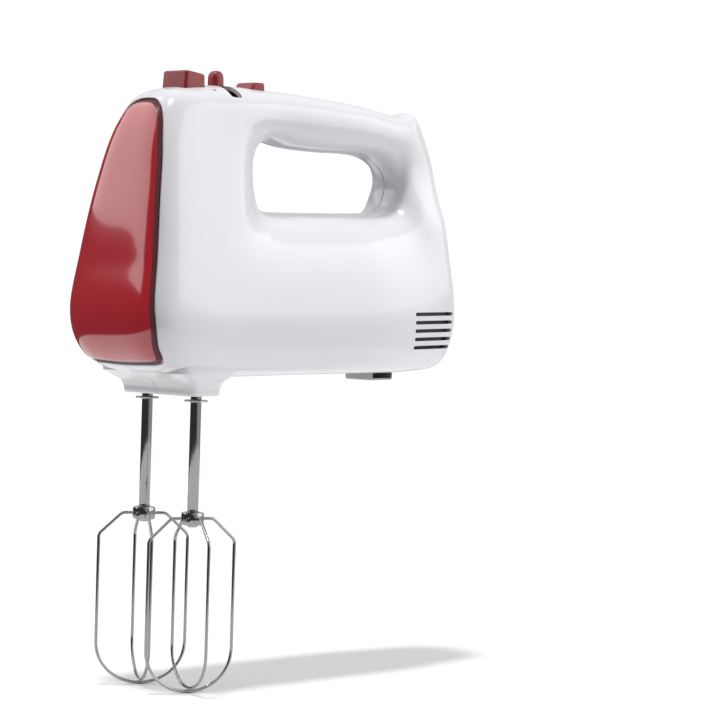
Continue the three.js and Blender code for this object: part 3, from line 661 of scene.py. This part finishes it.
def half_form(name, side, offset, sizes, start, rings, facets, seam_round=0.0):
    """One half of the solid inside the body surface moved out by `offset`, all in mm."""
    turns = np.arange(len(STATIONS) * rings) / (len(STATIONS) * rings)
    rows = [(step * math.pi / facets, None, 0.0) for step in range(1, facets)]
    if seam_round:
        lip = [(0.0, -1.0), (0.3, -0.3), (1.0, 0.0)]
        ends = [(x * seam_round, drop_in * seam_round) for x, drop_in in lip]
        rows = [(0.0, x, d) for x, d in ends] + rows + [(math.pi, x, d) for x, d in ends[::-1]]
    else:
        rows = [(0.0, 0.0, 0.0), *rows, (math.pi, 0.0, 0.0)]
    columns = []
    for angle, edge_x, sink in rows:
        y, z, breadth, share = body_section(turns, np.full(len(turns), angle), offset + sink, sizes)
        x = start + (breadth - start) * share if edge_x is None else np.full(len(turns), start + edge_x)
        columns.append(np.stack((side * x, y, z), -1))
    points = np.stack(columns, 1).reshape(-1, 3)
    faces = bridge(len(turns), len(rows), closed=True, flip=side > 0)
    return new_object(name, in_row(points), faces)


def plate_outline(grow_by, count=220):
    """The nose plate's outline in mm (X, Z), moved out by `grow_by`."""
    edge = np.array([[x, z, 0] for x, z in PLATE_EDGE])
    rail = np.concatenate((edge, (edge * (-1, 1, 1))[::-1]))
    turns = np.arange(count) / count
    flat = along(rail, turns)[:, :2]
    ahead = np.roll(flat, -1, 0) - np.roll(flat, 1, 0)
    normal = np.column_stack((-ahead[:, 1], ahead[:, 0]))
    return flat + normal / np.linalg.norm(normal, axis=1, keepdims=True) * grow_by


def find_on_body(want, axes, turn, angle, sizes, rounds):
    """Turn and angle where two of the body surface's coordinates have the wanted values, in mm."""
    tiny, turn_limit, angle_limit, least_area = 1e-5, 0.02, 0.1, 1e-3
    for _ in range(rounds):
        here = body_points(turn, angle, 0.0, sizes)[..., axes]
        by_turn = (body_points(turn + tiny, angle, 0.0, sizes)[..., axes] - here) / tiny
        by_angle = (body_points(turn, angle + tiny, 0.0, sizes)[..., axes] - here) / tiny
        miss = want - here
        area = by_turn[..., 0] * by_angle[..., 1] - by_turn[..., 1] * by_angle[..., 0]
        area = np.where(np.abs(area) < least_area, least_area, area)
        turn_step = (miss[..., 0] * by_angle[..., 1] - miss[..., 1] * by_angle[..., 0]) / area
        angle_step = (by_turn[..., 0] * miss[..., 1] - by_turn[..., 1] * miss[..., 0]) / area
        turn = turn + np.clip(turn_step, -turn_limit, turn_limit)
        angle = angle + np.clip(angle_step, -angle_limit, angle_limit)
    return turn, angle


def on_nose(flat, sizes):
    """Turn and angle on the body surface for (X, Z) points of the nose, in mm."""
    grid_turn, grid_angle = np.meshgrid(np.linspace(-4.6, 5.2, 240) / len(STATIONS),
                                        np.linspace(0.62, 1, 90) * math.pi, indexing="ij")
    grid_turn, grid_angle = grid_turn.ravel(), grid_angle.ravel()
    known = body_points(grid_turn, grid_angle, 0.0, sizes)
    behind = 0.02 * (known[:, 1] > 0)  # holds the search to the front of the body
    target = np.column_stack((np.abs(flat[:, 0]), flat[:, 1]))
    near = [int(np.argmin((known[:, 0] - x) ** 2 + (known[:, 2] - z) ** 2 + behind)) for x, z in target]
    turn, angle = find_on_body(target, [0, 2], grid_turn[near], grid_angle[near], sizes, 25)
    miss = np.abs(body_points(turn, angle, 0.0, sizes)[:, [0, 2]] - target).max()
    if miss > NOSE_TOLERANCE:
        raise RuntimeError(f"nose points miss the body by {miss:.3f} mm")
    return turn, np.where(flat[:, 0] < 0, 2 * math.pi - angle, angle)


def top_height(x, y, sizes):
    """Height in metres of the body's top at a point in the row frame."""
    want = np.array([abs(x) / MM, y / MM - SHIFT_Y])
    turn, angle = find_on_body(want, [0, 1], 5.8 / len(STATIONS), math.pi * 0.9, sizes, 30)
    return float(body_points(turn, angle, 0.0, sizes)[2]) * MM


def nose_solid(name, edge_rows, floor_height, face_height, sizes, painted_shade_border=False):
    """A closed plate on the nose. Edge rows run from its back to its face: (inset, height) in mm."""
    spine = (176.0, 262.0)
    fills = (0.0, 0.04, 0.1, 0.2, 0.32, 0.46, 0.6, 0.74, 0.88, 1.0)

    def fill_rows(inset, height):
        flat = plate_outline(-inset)
        spine_z = np.clip(flat[:, 1], *spine)
        middle = np.column_stack((np.zeros(len(flat)), spine_z))
        return [(flat + (middle - flat) * part, height) for part in fills]

    rows = fill_rows(edge_rows[0][0], floor_height)[::-1]
    rows += [(plate_outline(-inset), height) for inset, height in edge_rows]
    rows += fill_rows(edge_rows[-1][0], face_height)
    rings = []
    for flat, height in rows:
        turn, angle = on_nose(flat, sizes)
        rings.append(body_points(turn, angle, height, sizes))
    points = in_row(np.concatenate(rings))
    obj = new_object(name, points, bridge(len(rings), len(rings[0])))
    # The border faces take the second finish, a darker red that paints in their shade
    if painted_shade_border:
        first = len(fills) * len(rings[0])
        last = (len(fills) + len(edge_rows) - 2) * len(rings[0])
        for polygon in obj.data.polygons[first:last]:
            polygon.material_index = 1
    weld(obj, 0.00002)
    soften(obj, 30.0)
    return obj


# ---------- operators ----------
class MIXER_OT_shell(bpy.types.Operator):
    """Build both halves of the white body with its recess, slots, sockets and air vents"""
    bl_idname = "mixer.shell"
    bl_label = "Body Shell"

    def execute(self, context):
        for name, side in (("housing_right", 1), ("housing_left", -1)):
            self.half(context.scene, name, side)
        return {"FINISHED"}

    def half(self, scene, name, side):
        sizes = scene.mixer_shell
        seam = sizes.seam / MM
        shell = half_form(name + "_shell", side, 0.0, sizes, seam, sizes.rings, sizes.facets,
                          sizes.seam_round / MM)
        carve(shell, self.boss_half(side, seam), "UNION")
        carve(shell, half_form("hollow", side, -sizes.wall / MM, sizes, -1.0, 2, 16))
        carve(shell, self.recess(scene))
        for y, z in SCREW_PLACES:
            self.screw_post(shell, side, y, z, sizes)
        for tool in self.openings(scene, side):
            carve(shell, tool)
        soften(shell, 38.0)
        finish_piece(shell, "mixer_body", "white_shell", name)
        # a dark sheet behind the slots paints in the shade inside the body
        self.filter(name, side, sizes)

    def filter(self, name, side, sizes):
        """A dark sheet close behind the air slots: painted shade for the dark inside seen through them
        """
        pad = half_form(name + "_filter", side, -2.8, sizes, 0.0, 2, 24)
        carve(pad, half_form("hollow", side, -3.8, sizes, -1.0, 2, 24))
        block = key_block("block", 0.012, 0.019, 0.003, [(0, 0.158), (0, 0.1825)])
        move_by(block, Matrix.Translation((side * 0.0295, *in_row((0, VENT_Y + 1, 0))[1:])))
        carve(pad, block, "INTERSECT")
        soften(pad, 38.0)
        # dark finish here is painted shade behind the air slots
        finish_piece(pad, "mixer_body", "dark_plastic")

    def boss_half(self, side, seam):
        rings = []
        for place in np.linspace(0, len(BOSS_RINGS) - 1, 25):
            low = min(int(place), len(BOSS_RINGS) - 2)
            part = place - low
            half_x, front, rear, corner, z = BOSS_RINGS[low] * (1 - part) + BOSS_RINGS[low + 1] * part
            flat = rounded_rect(half_x, (rear - front) / 2, corner, 10)
            flat[:, 1] += (rear + front) / 2
            rings.append(in_row(np.column_stack((flat, np.full(len(flat), z)))))
        boss = stacked("boss", rings)
        clip_x = 40
        clip = key_block("clip", clip_x * MM, 0.080, 0.001, [(0, 0.1), (0, 0.3)])
        move_by(clip, Matrix.Translation((side * (clip_x + seam) * MM, SHIFT_Y * MM, 0)))
        return carve(boss, clip, "INTERSECT")

    def recess(self, scene):
        plate = scene.mixer_plate
        gap = plate.gap / MM
        floor = -plate.recess / MM
        rows = [(-gap, floor), (-gap, -0.35), (-gap - 0.1, -0.15), (-gap - 0.3, 0.02),
                (-gap - 0.6, 0.25), (-gap - 0.6, 2.5)]
        return nose_solid("recess", rows, floor, 2.5, scene.mixer_shell)

    def screw_post(self, shell, side, y, z, sizes):
        place = Matrix.Translation(Vector(in_row((0, y, z))))
        across = Matrix.Rotation(math.pi / 2, 4, "Y")
        seam, post_r, reach = sizes.seam, 0.004, 0.034
        post = turned("post", [(0, seam), (post_r, seam), (post_r, reach), (0, reach)], 32)
        move_by(post, place @ Matrix.Rotation(side * math.pi / 2, 4, "Y"))
        carve(post, half_form("inside", side, -1.0, sizes, 0.0, 2, 16), "INTERSECT")
        carve(shell, post, "UNION")
        bore_r, sink_r, seat, end, outside = 0.0019, 0.0036, -0.012, 0.009, -0.06
        bore = turned("bore", [(0, end), (0, outside), (sink_r, outside), (sink_r, seat),
                               (bore_r, seat), (bore_r, end)], 32)
        carve(shell, move_by(bore, place @ across))

    def openings(self, scene, side):
        sizes = scene.mixer_shell
        for x in (-SOCKET_X, SOCKET_X):
            bore = turned("socket", [(0, 0.16), (0, 0.12), (0.0082, 0.12), (0.0072, 0.14065),
                                     (0.0064, 0.1416), (0.0064, 0.16)], 48)
            yield move_by(bore, Matrix.Translation(Vector(in_row((x, 0, 0)))))
        for node, margin, low, top, corner in (("eject_button", 0.00035, 0.275, 0.31, 0.0024),
                                               ("turbo_button", 0.0003, 0.278, 0.31, 0.0024),
                                               ("cord_gland", 0.0003, 0.13, 0.156, 0.0029)):
            _, _, middle, half_x, half_y = seat_of(node)
            levels = [(0, low), (0, top)]
            yield set_at(key_block("hole", half_x + margin, half_y + margin, corner, levels), middle)
        slot = key_block("slot", 0.0165, 0.0035, 0.0016, [(0, 0.27), (0, 0.31)])
        yield set_at(slot, seat_of("speed_lever")[2])
        flat = rounded_rect(sizes.vent_height / 2, sizes.vent_length / 2, sizes.vent_height * 0.499, 8)
        rings = [np.column_stack((np.full(len(flat), x), flat[:, 1], flat[:, 0]))
                 for x in (0.014, 0.06)]
        vent = stacked("vent", rings)
        weld(vent)
        if side < 0:
            move_by(vent, Matrix.Rotation(math.pi, 4, "Z"))
        start = Vector(in_row((0, VENT_Y, VENT_Z)))
        yield grow("vents", [(0, 0, 0)], [], ROW, "white_shell", Piece=vent, Count=sizes.vent_count,
                   Start=start, Step=Vector((0, 0, sizes.vent_pitch)))


class MIXER_OT_nose_plate(bpy.types.Operator):
    """Build the red plate let into the nose, with its sloping border"""
    bl_idname = "mixer.nose_plate"
    bl_label = "Nose Plate"

    def execute(self, context):
        plate = context.scene.mixer_plate
        depth = -plate.depth / MM
        proud = plate.proud / MM
        border = plate.border / MM
        rows = [(0.0, depth), (0.0, depth + 0.2), (0.06, depth + 0.32), (0.2, depth + 0.45),
                (border - 0.3, proud - 0.2), (border - 0.1, proud - 0.06), (border + 0.2, proud)]
        obj = nose_solid("nose_plate", rows, depth, proud, context.scene.mixer_shell, True)
        finish_piece(obj, "mixer_body", "red_plastic", "front_panel", finish="nose_red")
        # The darker border finish is painted shade on the sloping border
        obj.data.materials.append(FINISHES["nose_edge_red"])
        return {"FINISHED"}


class MIXER_OT_controls(bpy.types.Operator):
    """Build the eject key, the speed lever with its zero mark, and the boost key"""
    bl_idname = "mixer.controls"
    bl_label = "Keys and Lever"

    def execute(self, context):
        sizes = context.scene.mixer_controls
        self.eject(sizes)
        self.boost(sizes)
        self.lever()
        self.mark(context.scene)
        return {"FINISHED"}

    def eject(self, sizes):
        _, most, middle, half_x, half_y = seat_of("eject_button")
        slope, lean = sizes.eject_slope, sizes.eject_lean
        foot, slopes_from, narrowing = 0.278, 0.285, 0.03

        def shape(ring):
            ring = ring.copy()
            rise = np.clip((ring[:, 2] - foot) / (most.z - foot), 0, 1)
            front = np.clip((half_y - ring[:, 1]) / (2 * half_y), 0, 1)
            ring[:, 2] -= slope * (ring[:, 1] + half_y) * (ring[:, 2] > slopes_from)
            ring[:, 1] += lean * rise * front
            ring[:, 0] *= 1 - narrowing * rise
            return ring

        levels = rounded_levels(0.272, most.z, 0.0004, sizes.edge)
        key = key_block("eject_key", half_x, half_y, 0.0018, levels, shape)
        stem = key_block("stem", 0.004, 0.003, 0.0008, [(0.0002, 0.227), (0, 0.2272), (0, 0.273)])
        carve(key, stem, "UNION")
        soften(key)
        set_at(key, middle)
        finish_piece(key, "eject_slide", "red_plastic", "eject_button")

    def boost(self, sizes):
        _, most, middle, half_x, half_y = seat_of("turbo_button")
        lean, foot = sizes.turbo_lean, 0.2855

        def shape(ring):
            ring = ring.copy()
            rise = np.clip((ring[:, 2] - foot) / (most.z - foot), 0, 1)
            front = np.clip((half_y - ring[:, 1]) / (2 * half_y), 0, 1)
            ring[:, 1] += lean * rise * front ** 2
            return ring

        levels = [(0, 0.276), (0, 0.284), (0, 0.2855), (0, 0.287), (0, 0.288)]
        levels += rounded_levels(0.2884, most.z, 0.0, sizes.edge)[1:]
        key = key_block("boost_key", half_x, half_y, 0.002, levels, shape)
        carve(key, key_block("stem", 0.003, 0.0024, 0.0008, [(0, 0.268), (0, 0.277)]), "UNION")
        soften(key)
        set_at(key, middle)
        finish_piece(key, "turbo_key", "red_plastic", "turbo_button")

    def lever(self):
        _, most, middle, _, _ = seat_of("speed_lever")
        half_x, half_y, dome, steps = 0.0037, 0.0034, 0.0034, 8
        foot = most.z - 0.0104
        levels = [(0.001, foot), (0.0003, foot + 0.0002), (0.0, foot + 0.0007),
                  (0.0001, foot + 0.004)]
        for step in range(steps + 1):
            angle = step * math.pi / 2 / steps
            inset = 0.0002 + (half_y - 0.0006) * (1 - math.cos(angle))
            levels.append((inset, most.z - dome + dome * math.sin(angle)))
        finger = key_block("speed_finger", half_x, half_y, 0.0026, levels, fill=(0.5,))
        arm = key_block("arm", 0.002, 0.002, 0.0005, [(0, 0.2515), (0, foot + 0.0004)])
        carve(finger, arm, "UNION")
        pin_r, eye_r, half_eye, through = 0.0016, 0.004, 0.002, 0.01
        axis = Matrix.Translation((0, 0, LEVER_AXIS_Z)) @ Matrix.Rotation(math.pi / 2, 4, "X")
        eye = turned("eye", [(pin_r, -half_eye), (eye_r, -half_eye), (eye_r, half_eye),
                             (pin_r, half_eye)], 40)
        carve(finger, move_by(eye, axis), "UNION")
        hole = turned("hole", [(0, -through), (pin_r, -through), (pin_r, through), (0, through)], 40)
        carve(finger, move_by(hole, axis))
        soften(finger)
        set_at(finger, middle)
        finish_piece(finger, "speed_selector", "red_plastic", "speed_lever")

    def mark(self, scene):
        """A small printed zero beside the lever"""
        half = scene.mixer_controls.mark_width / 2
        centre_x, centre_y = 0.0126, seat_of("speed_lever")[2] - 0.0111
        breadth, height, inner, sunk, lift, count = 0.78, 1.15, 0.62, -0.0001, 0.00008, 40
        rings = []
        for gain, rise in ((1.0, sunk), (1.0, lift), (inner, lift), (inner, sunk)):
            ring = []
            for step in range(count):
                angle = step * 2 * math.pi / count
                x = centre_x + half * breadth * gain ** 1.3 * math.cos(angle)
                y = centre_y + half * height * gain * math.sin(angle)
                ring.append((x, y, top_height(x, y, scene.mixer_shell) + rise))
            rings.append(ring)
        points = [p for ring in rings for p in ring]
        obj = new_object("zero_mark", points, bridge(len(rings), count, closed=True))
        weld(obj)
        finish_piece(obj, "mixer_body", "dark_plastic")


class MIXER_OT_cord_inlet(bpy.types.Operator):
    """Build the grey cord inlet under the rear of the body"""
    bl_idname = "mixer.cord_inlet"
    bl_label = "Cord Inlet"

    def execute(self, context):
        least, most, middle, half_x, half_y = seat_of("cord_gland")
        levels = [(0.0022, least.z), (0.0011, least.z), (0.0005, least.z + 0.00012),
                  (0.0002, least.z + 0.0004), (0.0, least.z + 0.001), (0, 0.1568), (0.0004, most.z)]
        inlet = key_block("cord_inlet", half_x, half_y, 0.0031, levels)
        mouth = key_block("mouth", 0.03, half_y - 0.0016, 0.0006,
                          [(0, least.z + 0.0009), (0, 0.1483)])
        carve(inlet, mouth)
        bore_r, rear, front, bore_z = 0.0026, -0.03, 0.005, 0.1536
        bore = turned("bore", [(0, rear), (bore_r, rear), (bore_r, front), (0, front)], 40)
        move_by(bore, Matrix.Translation((0, 0, bore_z)) @ Matrix.Rotation(math.pi / 2, 4, "X"))
        carve(inlet, bore)
        soften(inlet)
        set_at(inlet, middle)
        finish_piece(inlet, "mixer_body", "grey_plastic", "cord_gland")
        return {"FINISHED"}


class MIXER_OT_screws(bpy.types.Operator):
    """Build the four cross-head screws that hold the shell together"""
    bl_idname = "mixer.screws"
    bl_label = "Screws"

    def execute(self, context):
        head = turned("head", [(0, 0.0079), (0, -0.0154), (0.0012, -0.01535), (0.0022, -0.0151),
                               (0.0028, -0.0146), (0.0031, -0.0139), (0.0031, -0.0124),
                               (0.0014, -0.0124), (0.0014, 0.0065), (0.0009, 0.0074)], 40)
        for angle in (0, math.pi / 2):
            groove = key_block("groove", 0.0019, 0.0004, 0.0001, [(0, -0.016), (0, -0.0143)])
            carve(head, move_by(groove, Matrix.Rotation(angle, 4, "Z")))
        soften(head)
        move_by(head, Matrix.Rotation(math.pi / 2, 4, "Y"))
        places = in_row([(0, y, z) for y, z in SCREW_PLACES])
        names = [f"housing_screw_{i + 1}" for i in range(len(SCREW_PLACES))]
        screws = grow("shell_screws", places, [], SCATTER, "ground_steel", Piece=head)
        finish_piece(screws, "mixer_body", "ground_steel", *names)
        return {"FINISHED"}


class MIXER_OT_beaters(bpy.types.Operator):
    """Build the chromed shafts, hubs and wire cages of both beaters"""
    bl_idname = "mixer.beaters"
    bl_label = "Beaters"

    def execute(self, context):
        sizes = context.scene.mixer_beaters
        for name, side, wire_turn in (("right", 1, 72.5), ("left", -1, 62.5)):
            lean = Matrix.Translation(Vector((0, SHIFT_Y * MM, sizes.seat)))
            lean = lean @ Matrix.Rotation(-sizes.tilt, 4, "X")
            lean = lean @ Matrix.Translation(Vector((side * sizes.half_spacing, 0, 0)))
            self.shaft(name, lean, sizes)
            self.hub(name, lean, wire_turn, sizes)
            for loop in range(2):
                self.cage_wire(name, loop, lean, wire_turn + 90 * loop, sizes)
        return {"FINISHED"}

    def shaft(self, name, lean, sizes):
        r, foot, top, groove_r, collar_r = sizes.shaft_radius, -0.0596, 0.038, -0.0006, 0.0056
        profile = [(0, top), (0, foot), (r - 0.0008, foot), (r - 0.0003, foot + 0.0002),
                   (r, foot + 0.0007), (r, -0.0008), (r + 0.0002, -0.0006),
                   (collar_r - 0.0004, -0.0005), (collar_r - 0.0001, -0.0003), (collar_r, 0),
                   (collar_r - 0.0001, 0.0003), (collar_r - 0.0004, 0.0005), (r + 0.0002, 0.0006),
                   (r, 0.0008), (r, 0.0298), (r + groove_r, 0.0308), (r + groove_r, 0.0322),
                   (r, 0.033), (r, top - 0.0012), (r - 0.0004, top - 0.0004), (r - 0.001, top)]
        obj = move_by(turned(f"{name}_shaft", profile), lean)
        finish_piece(obj, f"{name}_beater", "chromed_steel", f"{name}_beater_shaft")

    def hub(self, name, lean, wire_turn, sizes):
        bore = sizes.shaft_radius + 0.0002
        low, high, r = -0.0586, -0.0524, 0.0054
        profile = [(bore, high - 0.0002), (bore, low + 0.0002), (bore + 0.0004, low),
                   (r - 0.001, low), (r - 0.0003, low + 0.0003), (r, low + 0.001),
                   (r, high - 0.001), (r - 0.0003, high - 0.0003), (r - 0.001, high),
                   (bore + 0.0004, high)]
        obj = turned(f"{name}_hub", profile)
        for angle in (45, 225):
            dimple = turned("dimple", [(0, 0.0046), (0.0005, 0.0047), (0.0011, 0.0055),
                                       (0.0011, 0.008), (0, 0.008)], 24)
            turn = Matrix.Rotation(math.radians(wire_turn + angle), 4, "Z")
            across = Matrix.Rotation(math.pi / 2, 4, "Y")
            carve(obj, move_by(dimple, Matrix.Translation((0, 0, HUB_Z)) @ turn @ across))
        soften(obj)
        move_by(obj, lean)
        finish_piece(obj, f"{name}_beater", "chromed_steel", f"{name}_beater_hub")

    def cage_wire(self, name, loop, lean, turn, sizes):
        cage, steps, straight_end, lowest = sizes.cage_radius, 14, -0.1177, -0.1372
        bottom = lowest + loop * (2 * sizes.wire_radius + 0.0003)
        bowl = straight_end - bottom
        half = [(0.0057, HUB_Z), (0.0106, HUB_Z), (cage, HUB_Z - 0.0102)]
        for step in range(steps):
            angle = step * math.pi / 2 / steps
            half.append((cage * math.cos(angle), straight_end - bowl * math.sin(angle)))
        path = [*half, (0, bottom), *[(-r, z) for r, z in half[::-1]]]
        points = [(r, 0, z) for r, z in path]
        edges = [(k, k + 1) for k in range(len(points) - 1)]
        obj = grow(f"{name}_cage_wire_{loop + 1}", points, edges, WIRE, "chromed_steel",
                   Radius=sizes.wire_radius, Sides=sizes.wire_sides, Bend=0.0035, Step=0.0012)
        weld(obj)
        soften(obj, 60)
        move_by(obj, lean @ Matrix.Rotation(math.radians(turn), 4, "Z"))
        finish_piece(obj, f"{name}_beater", "chromed_steel", f"{name}_wire_loop_{loop + 1}")


class MIXER_OT_works(bpy.types.Operator):
    """Give the motor, gears and controls inside the body their finishes"""
    bl_idname = "mixer.works"
    bl_label = "Motor and Gears"

    def execute(self, context):
        for name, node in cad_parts.items():
            finish = self.finish_for(name)
            for slot in node.material_slots:
                slot.link = "OBJECT"
                slot.material = FINISHES[finish]
        return {"FINISHED"}

    def finish_for(self, name):
        for finish, words in FINISH_WORDS:
            if any(word in name for word in words.split()):
                return finish
        raise RuntimeError(f"no finish for {name}")


class MIXER_OT_studio(bpy.types.Operator):
    """Set the floor, the soft lights and the camera"""
    bl_idname = "mixer.studio"
    bl_label = "Studio"

    def execute(self, context):
        sizes = context.scene.mixer_studio
        self.camera(context.scene, sizes)
        self.floor(sizes)
        self.lights()
        self.surroundings(context.scene)
        return {"FINISHED"}

    def camera(self, scene, sizes):
        a, pan, pitch, roll = sizes.azimuth, sizes.pan, sizes.pitch, sizes.roll
        place = Vector((math.sin(a) * sizes.camera_distance,
                        SHIFT_Y * MM - math.cos(a) * sizes.camera_distance, sizes.camera_height))
        up = Vector((0, 0, 1))
        ahead = Vector((-math.sin(a), math.cos(a), 0))
        right = ahead.cross(up)
        ahead = ahead * math.cos(pan) + right * math.sin(pan)
        ahead = ahead * math.cos(pitch) - up * math.sin(pitch)
        side = ahead.cross(up).normalized()
        top = side.cross(ahead).normalized()
        right = side * math.cos(roll) + top * math.sin(roll)
        top = top * math.cos(roll) - side * math.sin(roll)
        data = bpy.data.cameras.new("camera")
        data.lens = sizes.lens
        data.sensor_width = 36.0
        data.clip_end = 50.0
        camera = bpy.data.objects.new("camera", data)
        turn = Matrix((right, top, -ahead)).transposed().to_4x4()
        camera.matrix_world = Matrix.Translation(place) @ turn
        scene.collection.objects.link(camera)
        scene.camera = camera

    def floor(self, sizes):
        sides = 96
        turns = [2 * math.pi * side / sides for side in range(sides)]
        rim = [(sizes.floor_size * math.cos(t), sizes.floor_size * math.sin(t), 0) for t in turns]
        floor = new_object("floor", rim, [tuple(range(len(rim)))])
        paint = Finish("floor_paint", 0.9)
        paint.tint(paint.noise(3.0), (0.765, 0.765, 0.765), 0.995, 1.0)
        paint.gloss(paint.noise(40.0), 0.85, 0.95)
        floor.data.materials.append(paint.material)

    def lights(self):
        target = Vector((0, 0, 0.2))
        for name, kind, azimuth, elevation, distance, width, height, power in LIGHTS:
            a, e = math.radians(azimuth), math.radians(elevation)
            way = Vector((math.sin(a) * math.cos(e), -math.cos(a) * math.cos(e), math.sin(e)))
            data = bpy.data.lights.new(name, kind)
            data.energy = power
            if kind == "SUN":
                data.angle = math.radians(width)
            else:
                data.shape = "RECTANGLE"
                data.size = width
                data.size_y = height
            light = bpy.data.objects.new(name, data)
            turn = way.to_track_quat("Z", "Y").to_matrix().to_4x4()
            light.matrix_world = Matrix.Translation(target + way * distance) @ turn
            bpy.context.scene.collection.objects.link(light)

    def surroundings(self, scene):
        world = bpy.data.worlds.new("studio")
        world.use_nodes = True
        tree = world.node_tree
        back = tree.nodes["Background"]
        back.inputs["Color"].default_value = (0.99, 0.99, 1.0, 1)
        place = put(tree, "ShaderNodeTexCoord").outputs["Generated"]
        facing = put(tree, "ShaderNodeVectorMath", operation="DOT_PRODUCT")
        facing.inputs[1].default_value = BRIGHT_WAY
        tree.links.new(place, facing.inputs[0])
        fade = put(tree, "ShaderNodeMapRange", interpolation_type="SMOOTHSTEP",
                   Value=facing.outputs["Value"], From_Min=-0.1, From_Max=0.4, To_Min=0.07,
                   To_Max=0.62)
        pick = put(tree, "ShaderNodeMix")
        pick.inputs["B"].default_value = BACKDROP_STRENGTH
        path = put(tree, "ShaderNodeLightPath")
        tree.links.new(path.outputs["Is Camera Ray"], pick.inputs["Factor"])
        tree.links.new(fade.outputs["Result"], pick.inputs["A"])
        tree.links.new(pick.outputs["Result"], back.inputs["Strength"])
        scene.world = world
        scene.view_settings.view_transform = "Standard"
        scene.view_settings.look = "None"


class MIXER_PT_panel(bpy.types.Panel):
    """Steps and sizes of the hand mixer"""
    bl_idname = "MIXER_PT_panel"
    bl_label = "Hand Mixer"
    bl_space_type = "VIEW_3D"
    bl_region_type = "UI"
    bl_category = "Hand Mixer"

    def draw(self, context):
        layout = self.layout
        for step in STEPS:
            layout.operator(step.bl_idname)
        for key, kind in GROUPS.items():
            group = getattr(context.scene, key)
            box = layout.box()
            for name in kind.__annotations__:
                box.prop(group, name)


GROUPS = {
    "mixer_shell": MixerShellSizes,
    "mixer_plate": MixerPlateSizes,
    "mixer_controls": MixerControlSizes,
    "mixer_beaters": MixerBeaterSizes,
    "mixer_colours": MixerColours,
    "mixer_studio": MixerStudioSizes,
}
STEPS = (MIXER_OT_studio, MIXER_OT_works, MIXER_OT_shell, MIXER_OT_nose_plate, MIXER_OT_controls,
         MIXER_OT_cord_inlet, MIXER_OT_screws, MIXER_OT_beaters)


def register():
    for kind in (*GROUPS.values(), *STEPS, MIXER_PT_panel):
        bpy.utils.register_class(kind)
    for key, kind in GROUPS.items():
        setattr(bpy.types.Scene, key, PointerProperty(type=kind))


def unregister():
    for key in GROUPS:
        delattr(bpy.types.Scene, key)
    for kind in reversed((*GROUPS.values(), *STEPS, MIXER_PT_panel)):
        bpy.utils.unregister_class(kind)


def main():
    global FINISHES, WIRE, ROW, SCATTER
    register()
    FINISHES = make_finishes(bpy.context.scene.mixer_colours)
    WIRE, ROW, SCATTER = wire_tree(), row_tree(), scatter_tree()
    for step in STEPS:
        group, name = step.bl_idname.split(".")
        getattr(getattr(bpy.ops, group), name)()


if __name__ == "__main__":
    main()
